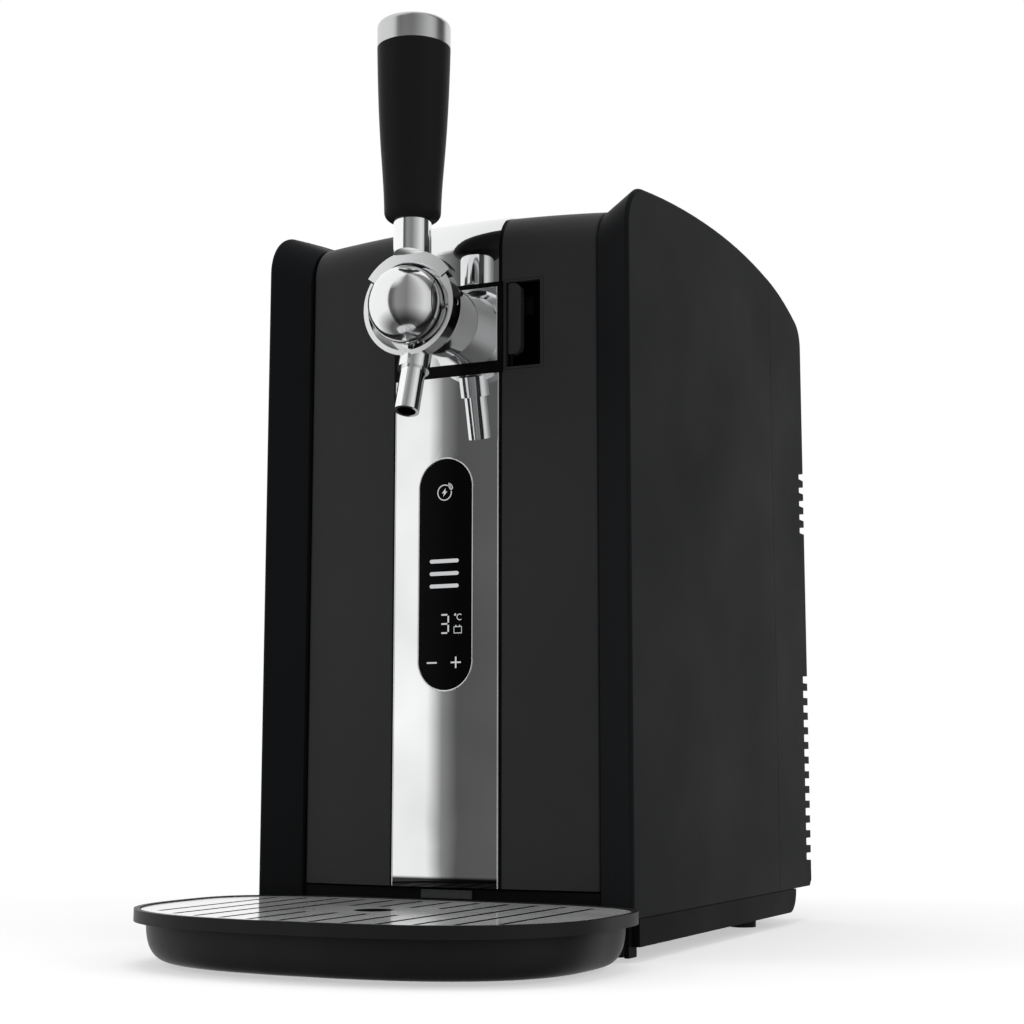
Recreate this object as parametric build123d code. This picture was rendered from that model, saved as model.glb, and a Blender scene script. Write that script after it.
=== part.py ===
from build123d import *
from math import asin, cos, radians, sin, tan
import os

# Countertop dispenser for a small pressurised beer keg. Millimetres, +Z up, the front faces -Y.
# Y is measured here from the plane of the door's side edges, and Z from the ground. save() moves
# each piece so that the origin lies on the ground, at the middle of the whole outline.

# ---- cabinet outline ----
body_width = 249.2
body_height = 463.5          # highest line of the side panels
body_depth = 331.0           # door plane to the rear face
shell_wall = 2.6
plinth_top = 24.1            # seam between the base and the panels
ground_gap = 8.5             # underside of the base above the ground
seam_gap = 0.4
opening_width = 200.4        # between the inner edges of the two side panels
flat_band = 2.4              # flat strip along the outer edge of each side panel
edge_round = 2.0
rim_proud = 13.0             # outer front edge in front of the door plane
rim_lip = 1.5                # inner front edge of the side panels in front of that plane
door_setback = 0.8
door_bow = 3.9               # how far the middle of the door bulges forward
top_bow = 4.0                # how far the middle of the top bulges up
top_dish = 10.0              # inner edge of the side panels below their outer edge
crown_radius = 1050.0        # long arc of the top in front of its highest line
rim_round_reach = 25.0       # front faces end and the long arc starts this far behind them
door_round_reach = 22.1
centre_round_reach = 20.9
apex_y = 158.0
rear_seam_reach = 75.5       # seam of the rear cover, measured from the rear face
seam_drop = 6.6
shoulder_reach, shoulder_drop = 12.0, 23.7
rear_round_drop = 41.5
rear_cover_chamfer = 6.0
rear_lip, rear_lip_low, rear_lip_high = 1.0, 31.0, 37.0

# ---- base ----
base_setback = 39.0          # base ends this far in front of the rear face
base_wall = 3.0
base_front = 4.0             # front of the skirts in front of the door plane
base_round = 15.0
ledge_top = 37.1
locating_lip = 8.0
foot_radius = 9.0
foot_inset = 26.0
tray_arm_width, tray_arm_height, tray_arm_reach = 2.8, 18.0, 8.5
tray_arm_inset, tray_arm_lift = 4.8, 2.5
tray_catch_width, tray_catch_height, tray_catch_depth = 34.0, 5.0, 1.4

# ---- louvres in the rear cover ----
slot_height = 5.4
slot_depth = 12.0
lower_slots, lower_slot_z, lower_slot_pitch = 13, 42.5, 10.6
upper_slots, upper_slot_drop, upper_slot_pitch = 5, 183.5, 10.06
mullions, mullion_width = 5, 4.0
rear_screw_radius, rear_screw_head, rear_screw_inset = 1.8, 3.6, 14.0

# ---- keg chamber ----
keg_clear_radius = 94.0      # inner half width of the chamber
neck_half_width = 60.0       # inner half width above the keg
liner_wall = 2.0
chamber_floor = 42.5
keg_zone_drop = 121.0        # top of the keg's space below the top of the cabinet
liner_top_drop = 57.0        # ceiling of the chamber below the top of the cabinet
flange_y = 37.0
flange_depth = 2.0
flange_rise = 7.0
fit_gap = 0.3
insulation_margin = 5.2      # foam's side from the outer face of the panels
insulation_front = 42.0
cooling_bay = 79.0           # rear of the foam to the rear face
rear_foam = 23.0             # foam behind the chamber's inner face
foam_cover = 8.0             # foam above the chamber
cold_plate_thickness = 1.5
cold_plate_span = 52.0       # half angle round the chamber
cold_plate_low, cold_plate_drop = 66.5, 74.0
keg_stand_radius, keg_stand_height, keg_stand_rib = 84.0, 3.0, 4.0

# ---- cooling and electrics ----
cold_block_size = 44.0
cooler_z = 126.5
peltier_size, peltier_thickness = 40.0, 4.0
sink_width, sink_height, sink_base, sink_fin, sink_fins = 90.0, 100.0, 5.0, 28.0, 14
sink_fin_thickness = 1.5
fan_size, fan_depth, fan_bore, fan_hub = 92.0, 25.0, 43.0, 16.0
fan_strut, fan_blades, fan_blade_thickness, fan_pitch = 3.0, 7, 1.6, 35.0
fan_shaft_radius, shaft_clearance = 2.0, 0.05
board_thickness = 1.6
board_width, board_length = 120.0, 90.0
board_post_radius, board_post_height, board_post_inset = 3.0, 5.0, 6.0
transformer_size, transformer_height = 32.0, 13.0
connector_width, connector_length, connector_height = 12.0, 60.0, 7.0
capacitor_radius, capacitor_height = 5.0, 14.0
supply_inset, supply_gap = 62.6, 27.0
supply_width, supply_height, supply_depth = 80.0, 62.0, 40.0
pump_inset, pump_drop, pump_radius, pump_length, pump_head = 84.6, 141.0, 17.0, 46.0, 24.0
pump_foot_half, pump_port_radius, pump_port_length = 8.0, 3.0, 9.0
hose_radius, hose_bend, hose_run = 2.2, 22.0, 60.0
fitting_radius, fitting_nose, fitting_flange, fitting_flange_depth = 4.0, 14.0, 8.0, 5.0
fitting_head, fitting_head_height = 6.0, 5.0
inlet_inset, inlet_drop = 52.6, 235.0
inlet_width, inlet_height, inlet_depth = 27.0, 19.6, 24.0
inlet_flange, inlet_wall, inlet_floor = 4.0, 1.6, 6.0
inlet_pin_width, inlet_pin_height, inlet_pin_gap, inlet_pin_rise, inlet_pin_setback = 2.0, 5.0, 7.0, 2.0, 3.0

# ---- door ----
door_gap = 1.3
door_depth = 34.0
door_bottom = 38.1
door_wall = 3.0
door_edge_round = 1.5
door_liner_depth = 3.0
door_liner_drop = 51.0       # top of the door's inner panel below the top of the cabinet
gasket_width, gasket_thickness, gasket_inset = 4.0, 2.6, 2.0
hinge_inset = 4.3            # hinge axis from the door's left edge
hinge_setback = 4.0          # hinge axis from the front of the door's edge
pin_radius = 1.5
bush_radius = 2.6
bush_length = 8.0
hinge_eye_radius = 3.0
hinge_arm_thickness = 3.0
hinge_arm_drop = 45.5
hinge_plate_reach, hinge_plate_depth, hinge_plate_lead = 22.0, 22.0, 1.0
bush_seat_height, bush_seat_margin = 9.0, 5.0
upper_pin_length, hinge_pocket = 7.0, 10.0
lower_pin_length = 24.0
slot_clearance = 0.7

# ---- chrome strip and display ----
strip_width = 71.2
strip_thickness = 1.0
skin_gap = 0.05
strip_back_reach = 30.0
display_radius = 18.0
display_top_drop, display_bottom_drop = 186.4, 291.1
bezel_width, bezel_proud, lens_proud = 0.9, 1.35, 0.9

# ---- latch frame and grip ----
frame_top_drop, frame_height = 61.0, 56.4
frame_top_bar, frame_bottom_bar, frame_left_bar, frame_right_bar = 2.6, 7.2, 1.6, 3.2
frame_right_x = 38.0
frame_proud = 1.3
grip_width, grip_depth, grip_wall = 26.4, 16.0, 1.5
grip_bevel = 6.0
paddle_width, paddle_height, paddle_thickness = 9.6, 44.0, 4.8
paddle_corner = 5.0
paddle_pin_radius = 1.2
paddle_arm_length, paddle_arm_thickness, paddle_arm_height = 17.9, 2.4, 10.0
paddle_swing = 20.0
latch_height, latch_depth, latch_lead = 14.0, 5.0, 4.5
latch_channel_wall, latch_channel_inset = 2.0, 5.4
magnet_width, magnet_thickness, magnet_gap, strike_thickness = 12.0, 2.5, 0.3, 0.8
catch_margin = 12.0

# ---- tap ----
tap_drop = 83.5              # tap centre below the top of the cabinet
tap_reach = 54.0             # tap ball centre in front of the door plane
pivot_setback = 5.5          # lever pivot behind the ball centre
ball_radius = 23.5
collar_radius, collar_wall, collar_depth = 30.2, 3.0, 10.0
collar_horn = 33.0           # angle of the collar's ends above the horizontal
shank_radius, shank_root_radius, shank_taper = 21.5, 24.5, 12.0
tube_radius, bore_radius = 11.0, 6.0
tube_reach = 44.0
nut_radius, nut_depth = 17.0, 6.0
seam_offset, seam_angle, seam_slit = 18.8, 11.5, 0.3
cap_peg_radius, cap_peg_length = 3.0, 4.0
spout_radius, spout_bore = 7.5, 5.5
spout_drop, spout_lean, spout_length = 64.0, 16.5, 38.0
boss_radius, boss_length = 9.6, 11.0
yoke_radius, yoke_crown, yoke_leg, yoke_gap, yoke_bond = 33.5, 6.3, 2.6, 0.3, 0.4
yoke_relief_steps = 4
lever_swing = 35.0
yoke_span = 55.0             # half angle of the crown, from straight up
yoke_depth, leg_depth = 9.6, 8.0
pivot_pin_radius = 2.0
stem_radius, stem_rise = 11.4, 52.5
grip_length, grip_low_radius, grip_high_radius = 108.2, 17.1, 22.3
grip_waist_radius, grip_waist_height = 19.5, 44.0
grip_foot_round = 5.6
stud_radius, stud_length = 5.0, 76.0
cap_height, cap_round = 16.0, 3.6
plunger_radius, plunger_head, plunger_length = 2.5, 5.0, 30.0

# ---- drip tray ----
tray_half_width = 140.5
tray_front, tray_rear = 105.8, 72.6    # reach in front of and behind the widest line
tray_y = -73.6
front_power, rear_power = 2.56, 3.65   # exponents of the rounded outline
rim_top, rim_height, rim_inset = 31.0, 6.8, 6.5
tray_wall = 2.2
tray_floor = 1.7
tray_foot_radius = 6.0
bowl_shrink, bowl_power, bowl_steps = 16.0, 2.65, 6
grid_inset, grid_thickness, grid_sink, grid_fit = 3.6, 1.2, 0.6, 0.5
grid_slots, grid_pitch, grid_slot_width = 12, 19.0, 3.6
grid_margin_front, grid_margin_rear = 8.0, 9.0
finger_hole_radius, finger_hole_lead, finger_hole_margin = 11.0, 12.4, 13.0

# ---- values that follow from the ones above ----
far = 700.0
form_floor = -10.0
body_half = body_width / 2
edge_x = opening_width / 2
rear_seam_y = body_depth - rear_seam_reach
outer_front_y = -rim_proud
door_half = edge_x - door_gap
door_top_seam_y = door_depth + door_gap
hinge_x = hinge_inset - door_half
hinge_y = door_setback + hinge_setback
tap_y = -tap_reach
tap_z = body_height - tap_drop
pivot_y = tap_y + pivot_setback
frame_top = body_height - frame_top_drop
frame_bottom = frame_top - frame_height
grip_left = frame_right_x + fit_gap
grip_right = grip_left + grip_width
paddle_pin_x = grip_left + grip_wall + paddle_thickness / 2 + fit_gap
paddle_pin_y = 0.4
paddle_low = frame_bottom + 10.8
latch_y = grip_depth + fit_gap
latch_z = paddle_low + paddle_height - 10.5
catch_x = neck_half_width + catch_margin
liner_top = body_height - liner_top_drop
foam_top = liner_top + foam_cover
insulation_rear = body_depth - cooling_bay
keg_y = insulation_rear - rear_foam - keg_clear_radius
keg_zone_top = body_height - keg_zone_drop
cold_plate_high = keg_zone_top - cold_plate_drop
display_top_z = body_height - display_top_drop
display_bottom_z = body_height - display_bottom_drop
upper_slot_z = body_height - upper_slot_drop
hinge_arm_z = body_height - hinge_arm_drop
latch_channel_end = door_half - latch_channel_inset
spout_tip_z = tap_z - spout_drop
stem_top_z = tap_z + stem_rise
inlet_x, inlet_z = body_half - inlet_inset, body_height - inlet_drop
supply_x = supply_inset - body_half
supply_z = cooler_z + (sink_height + supply_height) / 2 + supply_gap
pump_x, pump_z = body_half - pump_inset, body_height - pump_drop
pump_y = insulation_rear + pump_radius + pump_port_radius
board_z = foam_top + board_post_height
finger_hole_y = tray_y - finger_hole_lead
base_rear_y = body_depth - base_setback
block_rear_y = insulation_rear + 1.0
sink_y = block_rear_y + peltier_thickness
fan_y = sink_y + sink_base + sink_fin
origin_y = (tray_front - tray_y - body_depth - rear_lip) / 2


def save(name, *solids):
    """Write one node, moved so that the origin is under the middle of the outline."""
    shape = Compound(children=list(solids)) if len(solids) > 1 else solids[0]
    export_step(Pos(0, origin_y, 0) * shape, f"parts/{name}.step")


def block(x0, x1, y0, y1, z0, z1):
    """A box from its low corner to its high corner."""
    return Pos(x0, y0, z0) * Box(x1 - x0, y1 - y0, z1 - z0, align=(Align.MIN,) * 3)


def rod(radius, start, end):
    """A round bar between two points."""
    start, end = Vector(*start), Vector(*end)
    along = end - start
    return extrude(Plane(start, z_dir=along) * Circle(radius), along.length)


def rod_x(radius, x0, x1, y, z):
    return rod(radius, (x0, y, z), (x1, y, z))


def rod_y(radius, y0, y1, x, z):
    return rod(radius, (x, y0, z), (x, y1, z))


def rod_z(radius, z0, z1, x, y):
    return rod(radius, (x, y, z0), (x, y, z1))


# ---- cabinet form ----

def outline(x, front_y, raise_z, round_end, inset):
    """Side view of the cabinet at one x: straight front and rear, a chain of tangent arcs on top.

    The arc that rounds the front corner ends at round_end, where the long arc of the crown starts.
    """
    top = body_height + raise_z - inset
    slope = asin((apex_y - round_end) / crown_radius)
    crown_z = top - crown_radius * (1 - cos(slope))
    corner_radius = (round_end - front_y - inset) / (1 - sin(slope))
    points = [
        (front_y + inset, crown_z - corner_radius * cos(slope)),
        (round_end, crown_z),
        (apex_y, top),
        (rear_seam_y, top - seam_drop),
        (body_depth - shoulder_reach, top - shoulder_drop),
        (body_depth - inset, body_height + raise_z - rear_round_drop),
    ]
    places = [(x, y, z) for y, z in points]
    edges = [Line((x, front_y + inset, form_floor), places[0])]
    heading = (0, 0, 1)
    for start, end in zip(places, places[1:]):
        arc = TangentArc(start, end, tangent=heading)
        heading = arc % 1
        edges.append(arc)
    edges.append(Line(places[-1], (x, body_depth - inset, form_floor)))
    edges.append(Line((x, body_depth - inset, form_floor), (x, front_y + inset, form_floor)))
    return Face(Wire(edges))


def inner_outline(x, front_y, inset):
    """Side view where the side panels meet the door and the top cover."""
    return outline(x, front_y, -top_dish, door_setback + door_round_reach, inset)


def centre_form(inset):
    """The part of the cabinet between the side panels, bulged forward and up in the middle."""
    front_y = door_setback - door_bow
    middle = outline(0, front_y, top_bow - top_dish, front_y + centre_round_reach, inset)
    edges = [inner_outline(x, door_setback, inset) for x in (-edge_x, edge_x)]
    return loft([edges[0], middle, edges[1]])


def side_form(side, inset):
    """The part beside the opening: a ramp out to the rim, and a band with a rounded edge beside it."""
    rim_x = side * (body_half - max(flat_band, inset))
    rim = outline(rim_x, outer_front_y, 0, outer_front_y + rim_round_reach, inset)
    ramp = loft([inner_outline(side * edge_x, -rim_lip, inset), rim], ruled=True)
    if inset > flat_band:
        return ramp
    band = extrude(rim, amount=flat_band, dir=(side, 0, 0))
    outer_face = band.faces().sort_by(Axis.X)[-1 if side > 0 else 0]
    return ramp + fillet(outer_face.edges().sort_by(Axis.Z)[1:], edge_round)


centre_outer = centre_form(0)
side_outer = {side: side_form(side, 0) for side in (-1, 1)}
side_inner = {side: side_form(side, shell_wall) for side in (-1, 1)}


def side_panel(side):
    """Moulded side: rim, outer wall and the return that the door closes against."""
    zone = block(-far, far, -far, rear_seam_y - seam_gap / 2, plinth_top + seam_gap, far)
    outer = side_outer[side] & zone
    x0, x1 = sorted((side * edge_x, side * (edge_x + shell_wall)))
    jamb = outer & block(x0, x1, -far, insulation_front, 0, far)
    return (outer - side_inner[side]) + jamb


def top_cover():
    """Crowned lid between the side panels, with a front flange over the chamber."""
    half = edge_x - seam_gap / 2
    zone = block(-half, half, door_top_seam_y, rear_seam_y - seam_gap / 2, liner_top, far)
    outer = centre_outer & zone
    header = outer & block(-half, half, 0, door_top_seam_y + shell_wall, liner_top + flange_rise + fit_gap, far)
    header -= block(-far, hinge_x + hinge_plate_reach + fit_gap, 0, far,
                    hinge_arm_z - fit_gap, hinge_arm_z + hinge_arm_thickness + fit_gap)
    lid = outer - centre_form(shell_wall)
    return lid + header


def rear_slots():
    cuts = []
    for count, z, pitch in ((lower_slots, lower_slot_z, lower_slot_pitch),
                            (upper_slots, upper_slot_z, upper_slot_pitch)):
        for index in range(count):
            low = z + index * pitch
            cuts.append(block(-far, far, body_depth - slot_depth, far, low, low + slot_height))
    return cuts


def rear_cover():
    """Rear shell with louvres that run round its corners, and upright bars behind them."""
    floor = plinth_top + seam_gap
    zone = block(-far, far, rear_seam_y + seam_gap / 2, far, floor, far)
    outer = (centre_outer & zone) + (side_outer[-1] & zone) + (side_outer[1] & zone)
    low_rear = outer.edges().filter_by(Axis.X).group_by(Axis.Z)[0].sort_by(Axis.Y)[-1]
    inside = block(-far, far, 0, far, floor + shell_wall, far)
    hollow = centre_form(shell_wall) + side_inner[-1] + side_inner[1]
    cover = outer - (hollow & inside)
    cover -= extrude(Plane.YZ * make_face(Polyline(
        (body_depth + 1, floor - 1), (body_depth + 1, floor + rear_cover_chamfer),
        (body_depth, floor + rear_cover_chamfer), (body_depth - rear_cover_chamfer, floor),
        (body_depth - rear_cover_chamfer, floor - 1), close=True)), body_width, both=True)
    for cut in rear_slots():
        cover -= cut
    inner_y = body_depth - slot_depth
    span = body_width - 2 * shell_wall
    for index in range(mullions):
        x = (index - (mullions - 1) / 2) * span / (mullions + 1)
        for count, z, pitch in ((lower_slots, lower_slot_z, lower_slot_pitch),
                                (upper_slots, upper_slot_z, upper_slot_pitch)):
            top = z + (count - 1) * pitch + slot_height
            cover += block(x - mullion_width / 2, x + mullion_width / 2,
                           inner_y, body_depth - shell_wall, z - slot_height, top + slot_height)
    lip_half = body_half - edge_round
    cover += block(-lip_half, lip_half, body_depth - shell_wall, body_depth + rear_lip,
                   rear_lip_low, rear_lip_high)
    for x, z in rear_screw_places():
        cover -= rod_y(rear_screw_radius, body_depth - 8, body_depth + 8, x, z)
    return cover - inlet_cutout()


def rear_screw_places():
    x = body_half - rear_screw_inset
    low = lower_slot_z + lower_slots * lower_slot_pitch + rear_screw_inset
    high = upper_slot_z + upper_slots * upper_slot_pitch + rear_screw_inset
    return [(-x, low), (x, low), (-x, high), (x, high)]


def rear_screws():
    screws = []
    for x, z in rear_screw_places():
        shaft = rod_y(rear_screw_radius - shaft_clearance, body_depth - shell_wall - 5, body_depth, x, z)
        head = rod_y(rear_screw_head, body_depth, body_depth + 1.0, x, z)
        socket = rod_y(rear_screw_radius / 2, body_depth + 0.4, body_depth + 2, x, z)
        screws.append(shaft + head - socket)
    return screws


# ---- mains inlet ----

def inlet_cutout():
    w, h = inlet_width / 2 + fit_gap, inlet_height / 2 + fit_gap
    return block(inlet_x - w, inlet_x + w, body_depth - 10, body_depth + 5, inlet_z - h, inlet_z + h)


def mains_inlet():
    w, h = inlet_width / 2, inlet_height / 2
    y0, y1 = body_depth - inlet_depth, body_depth
    body = block(inlet_x - w, inlet_x + w, y0, y1, inlet_z - h, inlet_z + h)
    body += block(inlet_x - w - inlet_flange, inlet_x + w + inlet_flange, y1, y1 + rear_lip,
                  inlet_z - h - inlet_flange / 2, inlet_z + h + inlet_flange / 2)
    body -= block(inlet_x - w + inlet_wall, inlet_x + w - inlet_wall, y0 + inlet_floor, far,
                  inlet_z - h + inlet_wall, inlet_z + h - inlet_wall)
    for x, rise in ((-inlet_pin_gap, -inlet_pin_rise), (inlet_pin_gap, -inlet_pin_rise), (0.0, inlet_pin_rise)):
        z = inlet_z + rise
        body += block(inlet_x + x - inlet_pin_width / 2, inlet_x + x + inlet_pin_width / 2,
                      y0 + inlet_floor - 1, y1 - inlet_pin_setback,
                      z - inlet_pin_height / 2, z + inlet_pin_height / 2)
    return body


# ---- base ----

def base():
    """Moulded base: skirts, a ledge under the door, ribs inside and two upright arms beside the tray."""
    top = plinth_top
    zone = block(-far, far, -base_front, base_rear_y, ground_gap, top)
    floor_block = block(-edge_x, edge_x, door_setback, base_rear_y, ground_gap, top)
    shell = floor_block + (side_outer[-1] & zone) + (side_outer[1] & zone)
    shell = fillet(shell.edges().filter_by(Axis.X).group_by(Axis.Z)[0].sort_by(Axis.Y)[-1], base_round)
    half = body_half - 2 * base_wall
    shell -= block(-half, half, door_setback + base_wall, base_rear_y - base_round,
                   ground_gap + base_wall, far)
    ledge = block(-door_half, door_half, door_setback, flange_y + flange_depth, top, ledge_top)
    ledge -= block(-door_half + base_wall, door_half - base_wall, door_setback + base_wall, far,
                   0, ledge_top - base_wall)
    shell += ledge
    for y in (insulation_front + 6, keg_y, insulation_rear - 10):
        shell += block(-half, half, y, y + base_wall, ground_gap, top)
    lip_x = body_half - shell_wall - fit_gap
    for side in (-1, 1):
        x0, x1 = sorted((side * lip_x, side * (lip_x - 2.0)))
        shell += block(x0, x1, insulation_front + 4, rear_seam_y, top - 2, top + locating_lip)
        arm_x = body_half - tray_arm_inset
        x0, x1 = sorted((side * arm_x, side * (arm_x - tray_arm_width)))
        shell += block(x0, x1, -tray_arm_reach, base_wall, tray_arm_lift, tray_arm_lift + tray_arm_height)
    boss = rod_z(hinge_eye_radius + 1, ground_gap, ledge_top, hinge_x, hinge_y)
    shell += boss & block(-far, far, door_setback, far, 0, far)
    return shell - rod_z(pin_radius, door_bottom - lower_pin_length / 2, ledge_top + 1, hinge_x, hinge_y)


def feet():
    x = body_half - foot_inset
    return [rod_z(foot_radius, 0, ground_gap, sx * x, y)
            for sx in (-1, 1) for y in (foot_inset, base_rear_y - base_round - foot_inset)]


def tray_catch():
    """Small springy tab on the ledge that holds the drip tray."""
    half = tray_catch_width / 2
    low = ledge_top - tray_catch_height - 0.6
    return block(-half, half, door_setback - tray_catch_depth, door_setback, low, low + tray_catch_height)


# ---- keg chamber ----

def chamber_plan(half, radius_y):
    """Plan of the chamber: straight sides from the flange, round at the back."""
    reach = radius_y - flange_y
    front = Rectangle(2 * half, reach, align=(Align.CENTER, Align.MAX))
    room = Pos(0, -reach, 0) * Rectangle(2 * half, reach + half, align=(Align.CENTER, Align.MIN))
    return Pos(0, radius_y, 0) * ((front + Circle(half)) & room)


def chamber_solid(grow):
    """The keg space and the narrower space above it, grown by a wall."""
    low = extrude(Pos(0, 0, chamber_floor - grow) * chamber_plan(keg_clear_radius + grow, keg_y),
                  keg_zone_top - chamber_floor + 2 * grow)
    high = extrude(Pos(0, 0, chamber_floor) * chamber_plan(neck_half_width + grow, keg_y),
                   liner_top - chamber_floor + grow)
    return low + high


def chamber_liner():
    hollow = chamber_solid(0) + chamber_front_space()
    flange_half = edge_x - fit_gap
    flange = block(-flange_half, flange_half, flange_y, flange_y + flange_depth,
                   ledge_top + fit_gap, liner_top + flange_rise)
    liner = chamber_solid(liner_wall) + flange - hollow
    liner -= rod_z(fitting_radius + shaft_clearance, liner_top - 1, far, 0, keg_y)
    reach = cold_block_size / 2 + fit_gap
    return liner - block(-reach, reach, keg_y, far, cooler_z - reach, cooler_z + reach)


def chamber_front_space():
    """Clears the mouth of the chamber through the flange."""
    low = block(-keg_clear_radius, keg_clear_radius, 0, keg_y, chamber_floor, keg_zone_top)
    high = block(-neck_half_width, neck_half_width, 0, keg_y, chamber_floor, liner_top)
    return low + high


def insulation(side):
    """One half of the foam jacket round the chamber."""
    half = body_half - insulation_margin
    x0, x1 = sorted((0.0, side * half))
    jacket = block(x0, x1, insulation_front, insulation_rear, plinth_top, foam_top)
    reach = cold_block_size / 2 + fit_gap
    jacket -= chamber_solid(liner_wall + fit_gap)
    jacket -= rod_z(fitting_radius + fit_gap, 0, far, 0, keg_y)
    return jacket - block(-reach, reach, keg_y, far, cooler_z - reach, cooler_z + reach)


def cold_plate():
    """Curved aluminium sheet on the chamber's rear wall."""
    radius = keg_clear_radius - fit_gap
    ring = Circle(radius) - Circle(radius - cold_plate_thickness)
    reach = 2 * keg_clear_radius
    run = reach * tan(radians(cold_plate_span))
    wedge = make_face(Polyline((0, 0), (run, reach), (-run, reach), close=True))
    sheet = extrude(Pos(0, 0, cold_plate_low) * (ring & wedge), cold_plate_high - cold_plate_low)
    return Pos(0, keg_y, 0) * sheet


def cold_block():
    """Aluminium block that carries heat from the cold plate to the thermoelectric module."""
    half = cold_block_size / 2
    solid = block(-half, half, keg_y, block_rear_y, cooler_z - half, cooler_z + half)
    return solid - rod_z(keg_clear_radius - fit_gap, 0, far, 0, keg_y)


def keg_stand():
    disc = rod_z(keg_stand_radius, chamber_floor, chamber_floor + keg_stand_height, 0, keg_y)
    rib = rod_z(keg_stand_radius, 0, keg_stand_rib, 0, 0) - rod_z(keg_stand_radius - 3, -1, far, 0, 0)
    disc += Pos(0, keg_y, chamber_floor + keg_stand_height) * rib
    return disc & block(-far, far, flange_y + flange_depth, far, 0, far)


# ---- cooling, pump and electrics ----

def peltier_module():
    half = peltier_size / 2
    return block(-half, half, block_rear_y, sink_y, cooler_z - half, cooler_z + half)


def heat_sink():
    half, low = sink_width / 2, cooler_z - sink_height / 2
    sink = block(-half, half, sink_y, sink_y + sink_base, low, low + sink_height)
    pitch = (sink_width - sink_fin_thickness) / (sink_fins - 1)
    for index in range(sink_fins):
        x = -half + index * pitch
        sink += block(x, x + sink_fin_thickness, sink_y + sink_base, fan_y, low, low + sink_height)
    return sink


def fan_frame():
    half = fan_size / 2
    frame = block(-half, half, fan_y, fan_y + fan_depth, cooler_z - half, cooler_z + half)
    frame -= rod_y(fan_bore, fan_y - 1, fan_y + fan_depth + 1, 0, cooler_z)
    motor = rod_y(fan_hub, fan_y, fan_y + 3, 0, cooler_z)
    struts = block(-half, half, fan_y, fan_y + 3, cooler_z - fan_strut / 2, cooler_z + fan_strut / 2)
    struts += block(-fan_strut / 2, fan_strut / 2, fan_y, fan_y + 3, cooler_z - half, cooler_z + half)
    frame += motor + (struts - rod_y(fan_hub, fan_y - 1, far, 0, cooler_z))
    return frame + rod_y(fan_shaft_radius, fan_y, fan_y + fan_depth - 5, 0, cooler_z)


def fan_rotor():
    y0, y1 = fan_y + 3 + fit_gap, fan_y + fan_depth - 2
    reach = fan_bore - 1.5
    rotor = rod_y(fan_hub, y0, y1, 0, cooler_z)
    root = fan_hub - 3
    blade = Box(fan_blade_thickness, (y1 - y0 - 4) / cos(radians(fan_pitch)), reach - root,
                align=(Align.CENTER, Align.CENTER, Align.MIN))
    blade = Pos(0, 0, root) * (Rot(0, 0, fan_pitch) * blade)
    for index in range(fan_blades):
        rotor += Pos(0, (y0 + y1) / 2, cooler_z) * (Rot(0, index * 360 / fan_blades, 0) * blade)
    rotor &= rod_y(reach, y0, y1, 0, cooler_z)
    shaft_end = fan_y + fan_depth - 5 + fit_gap
    return rotor - rod_y(fan_shaft_radius + shaft_clearance, fan_y, shaft_end, 0, cooler_z)


def power_supply():
    """Closed metal case of the mains supply, fixed to the foam jacket's rear face."""
    case = block(supply_x - supply_width / 2, supply_x + supply_width / 2, insulation_rear,
                 insulation_rear + supply_depth, supply_z - supply_height / 2, supply_z + supply_height / 2)
    return fillet(case.edges().filter_by(Axis.Z), 2)


def control_board():
    """Circuit board on four posts above the chamber."""
    half_w, half_l = board_width / 2, board_length / 2
    y = (insulation_front + insulation_rear) / 2
    board = block(-half_w, half_w, y - half_l, y + half_l, board_z, board_z + board_thickness)
    post_x, post_y = half_w - board_post_inset, half_l - board_post_inset
    for sx in (-1, 1):
        for sy in (-1, 1):
            board += rod_z(board_post_radius, foam_top, board_z, sx * post_x, y + sy * post_y)
    board += block(-board_width / 3, transformer_size - board_width / 3, y - transformer_size / 2,
                   y + transformer_size / 2, board_z, board_z + transformer_height)
    board += block(connector_width / 2, connector_width * 3 / 2, y - connector_length / 2,
                   y + connector_length / 2, board_z, board_z + connector_height)
    return board + rod_z(capacitor_radius, board_z, board_z + capacitor_height, board_width / 3, y)


def air_pump():
    """Small piston pump that keeps the keg under pressure."""
    top = pump_z + pump_radius
    motor = rod_x(pump_radius, pump_x - pump_length, pump_x, pump_y, pump_z)
    head = block(pump_x, pump_x + pump_head, insulation_rear, pump_y + pump_radius - 2,
                 pump_z - pump_radius, top)
    foot = block(pump_x - pump_length, pump_x, insulation_rear, pump_y,
                 pump_z - pump_foot_half, pump_z + pump_foot_half)
    return motor + head + foot + rod_z(pump_port_radius, top, top + pump_port_length,
                                       pump_x + pump_head / 2, pump_y)


def air_fitting():
    """Nozzle in the chamber's ceiling that the keg's coupler plugs onto."""
    low = liner_top - fitting_nose
    fitting = rod_z(fitting_radius, low, foam_top, 0, keg_y)
    fitting += rod_z(fitting_flange, liner_top - fitting_flange_depth, liner_top, 0, keg_y)
    fitting += rod_z(fitting_head, foam_top, foam_top + fitting_head_height, 0, keg_y)
    return fitting - rod_z(fitting_radius / 2, low - 1, foam_top, 0, keg_y)


def air_hose():
    """Hose from the pump over the foam to the fitting."""
    x = pump_x + pump_head / 2
    low, z = pump_z + pump_radius + pump_port_length, foam_top + hose_radius + fit_gap
    path = FilletPolyline((x, pump_y, low), (x, pump_y, z), (0, pump_y - hose_run, z),
                          (0, keg_y + fitting_head + skin_gap, z), radius=hose_bend)
    return sweep(Plane(path @ 0, z_dir=path % 0) * Circle(hose_radius), path=path)


# ---- door ----

def door_zone(inset):
    half = door_half - inset
    return block(-half, half, -far, door_depth, door_bottom + inset, far)


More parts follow.
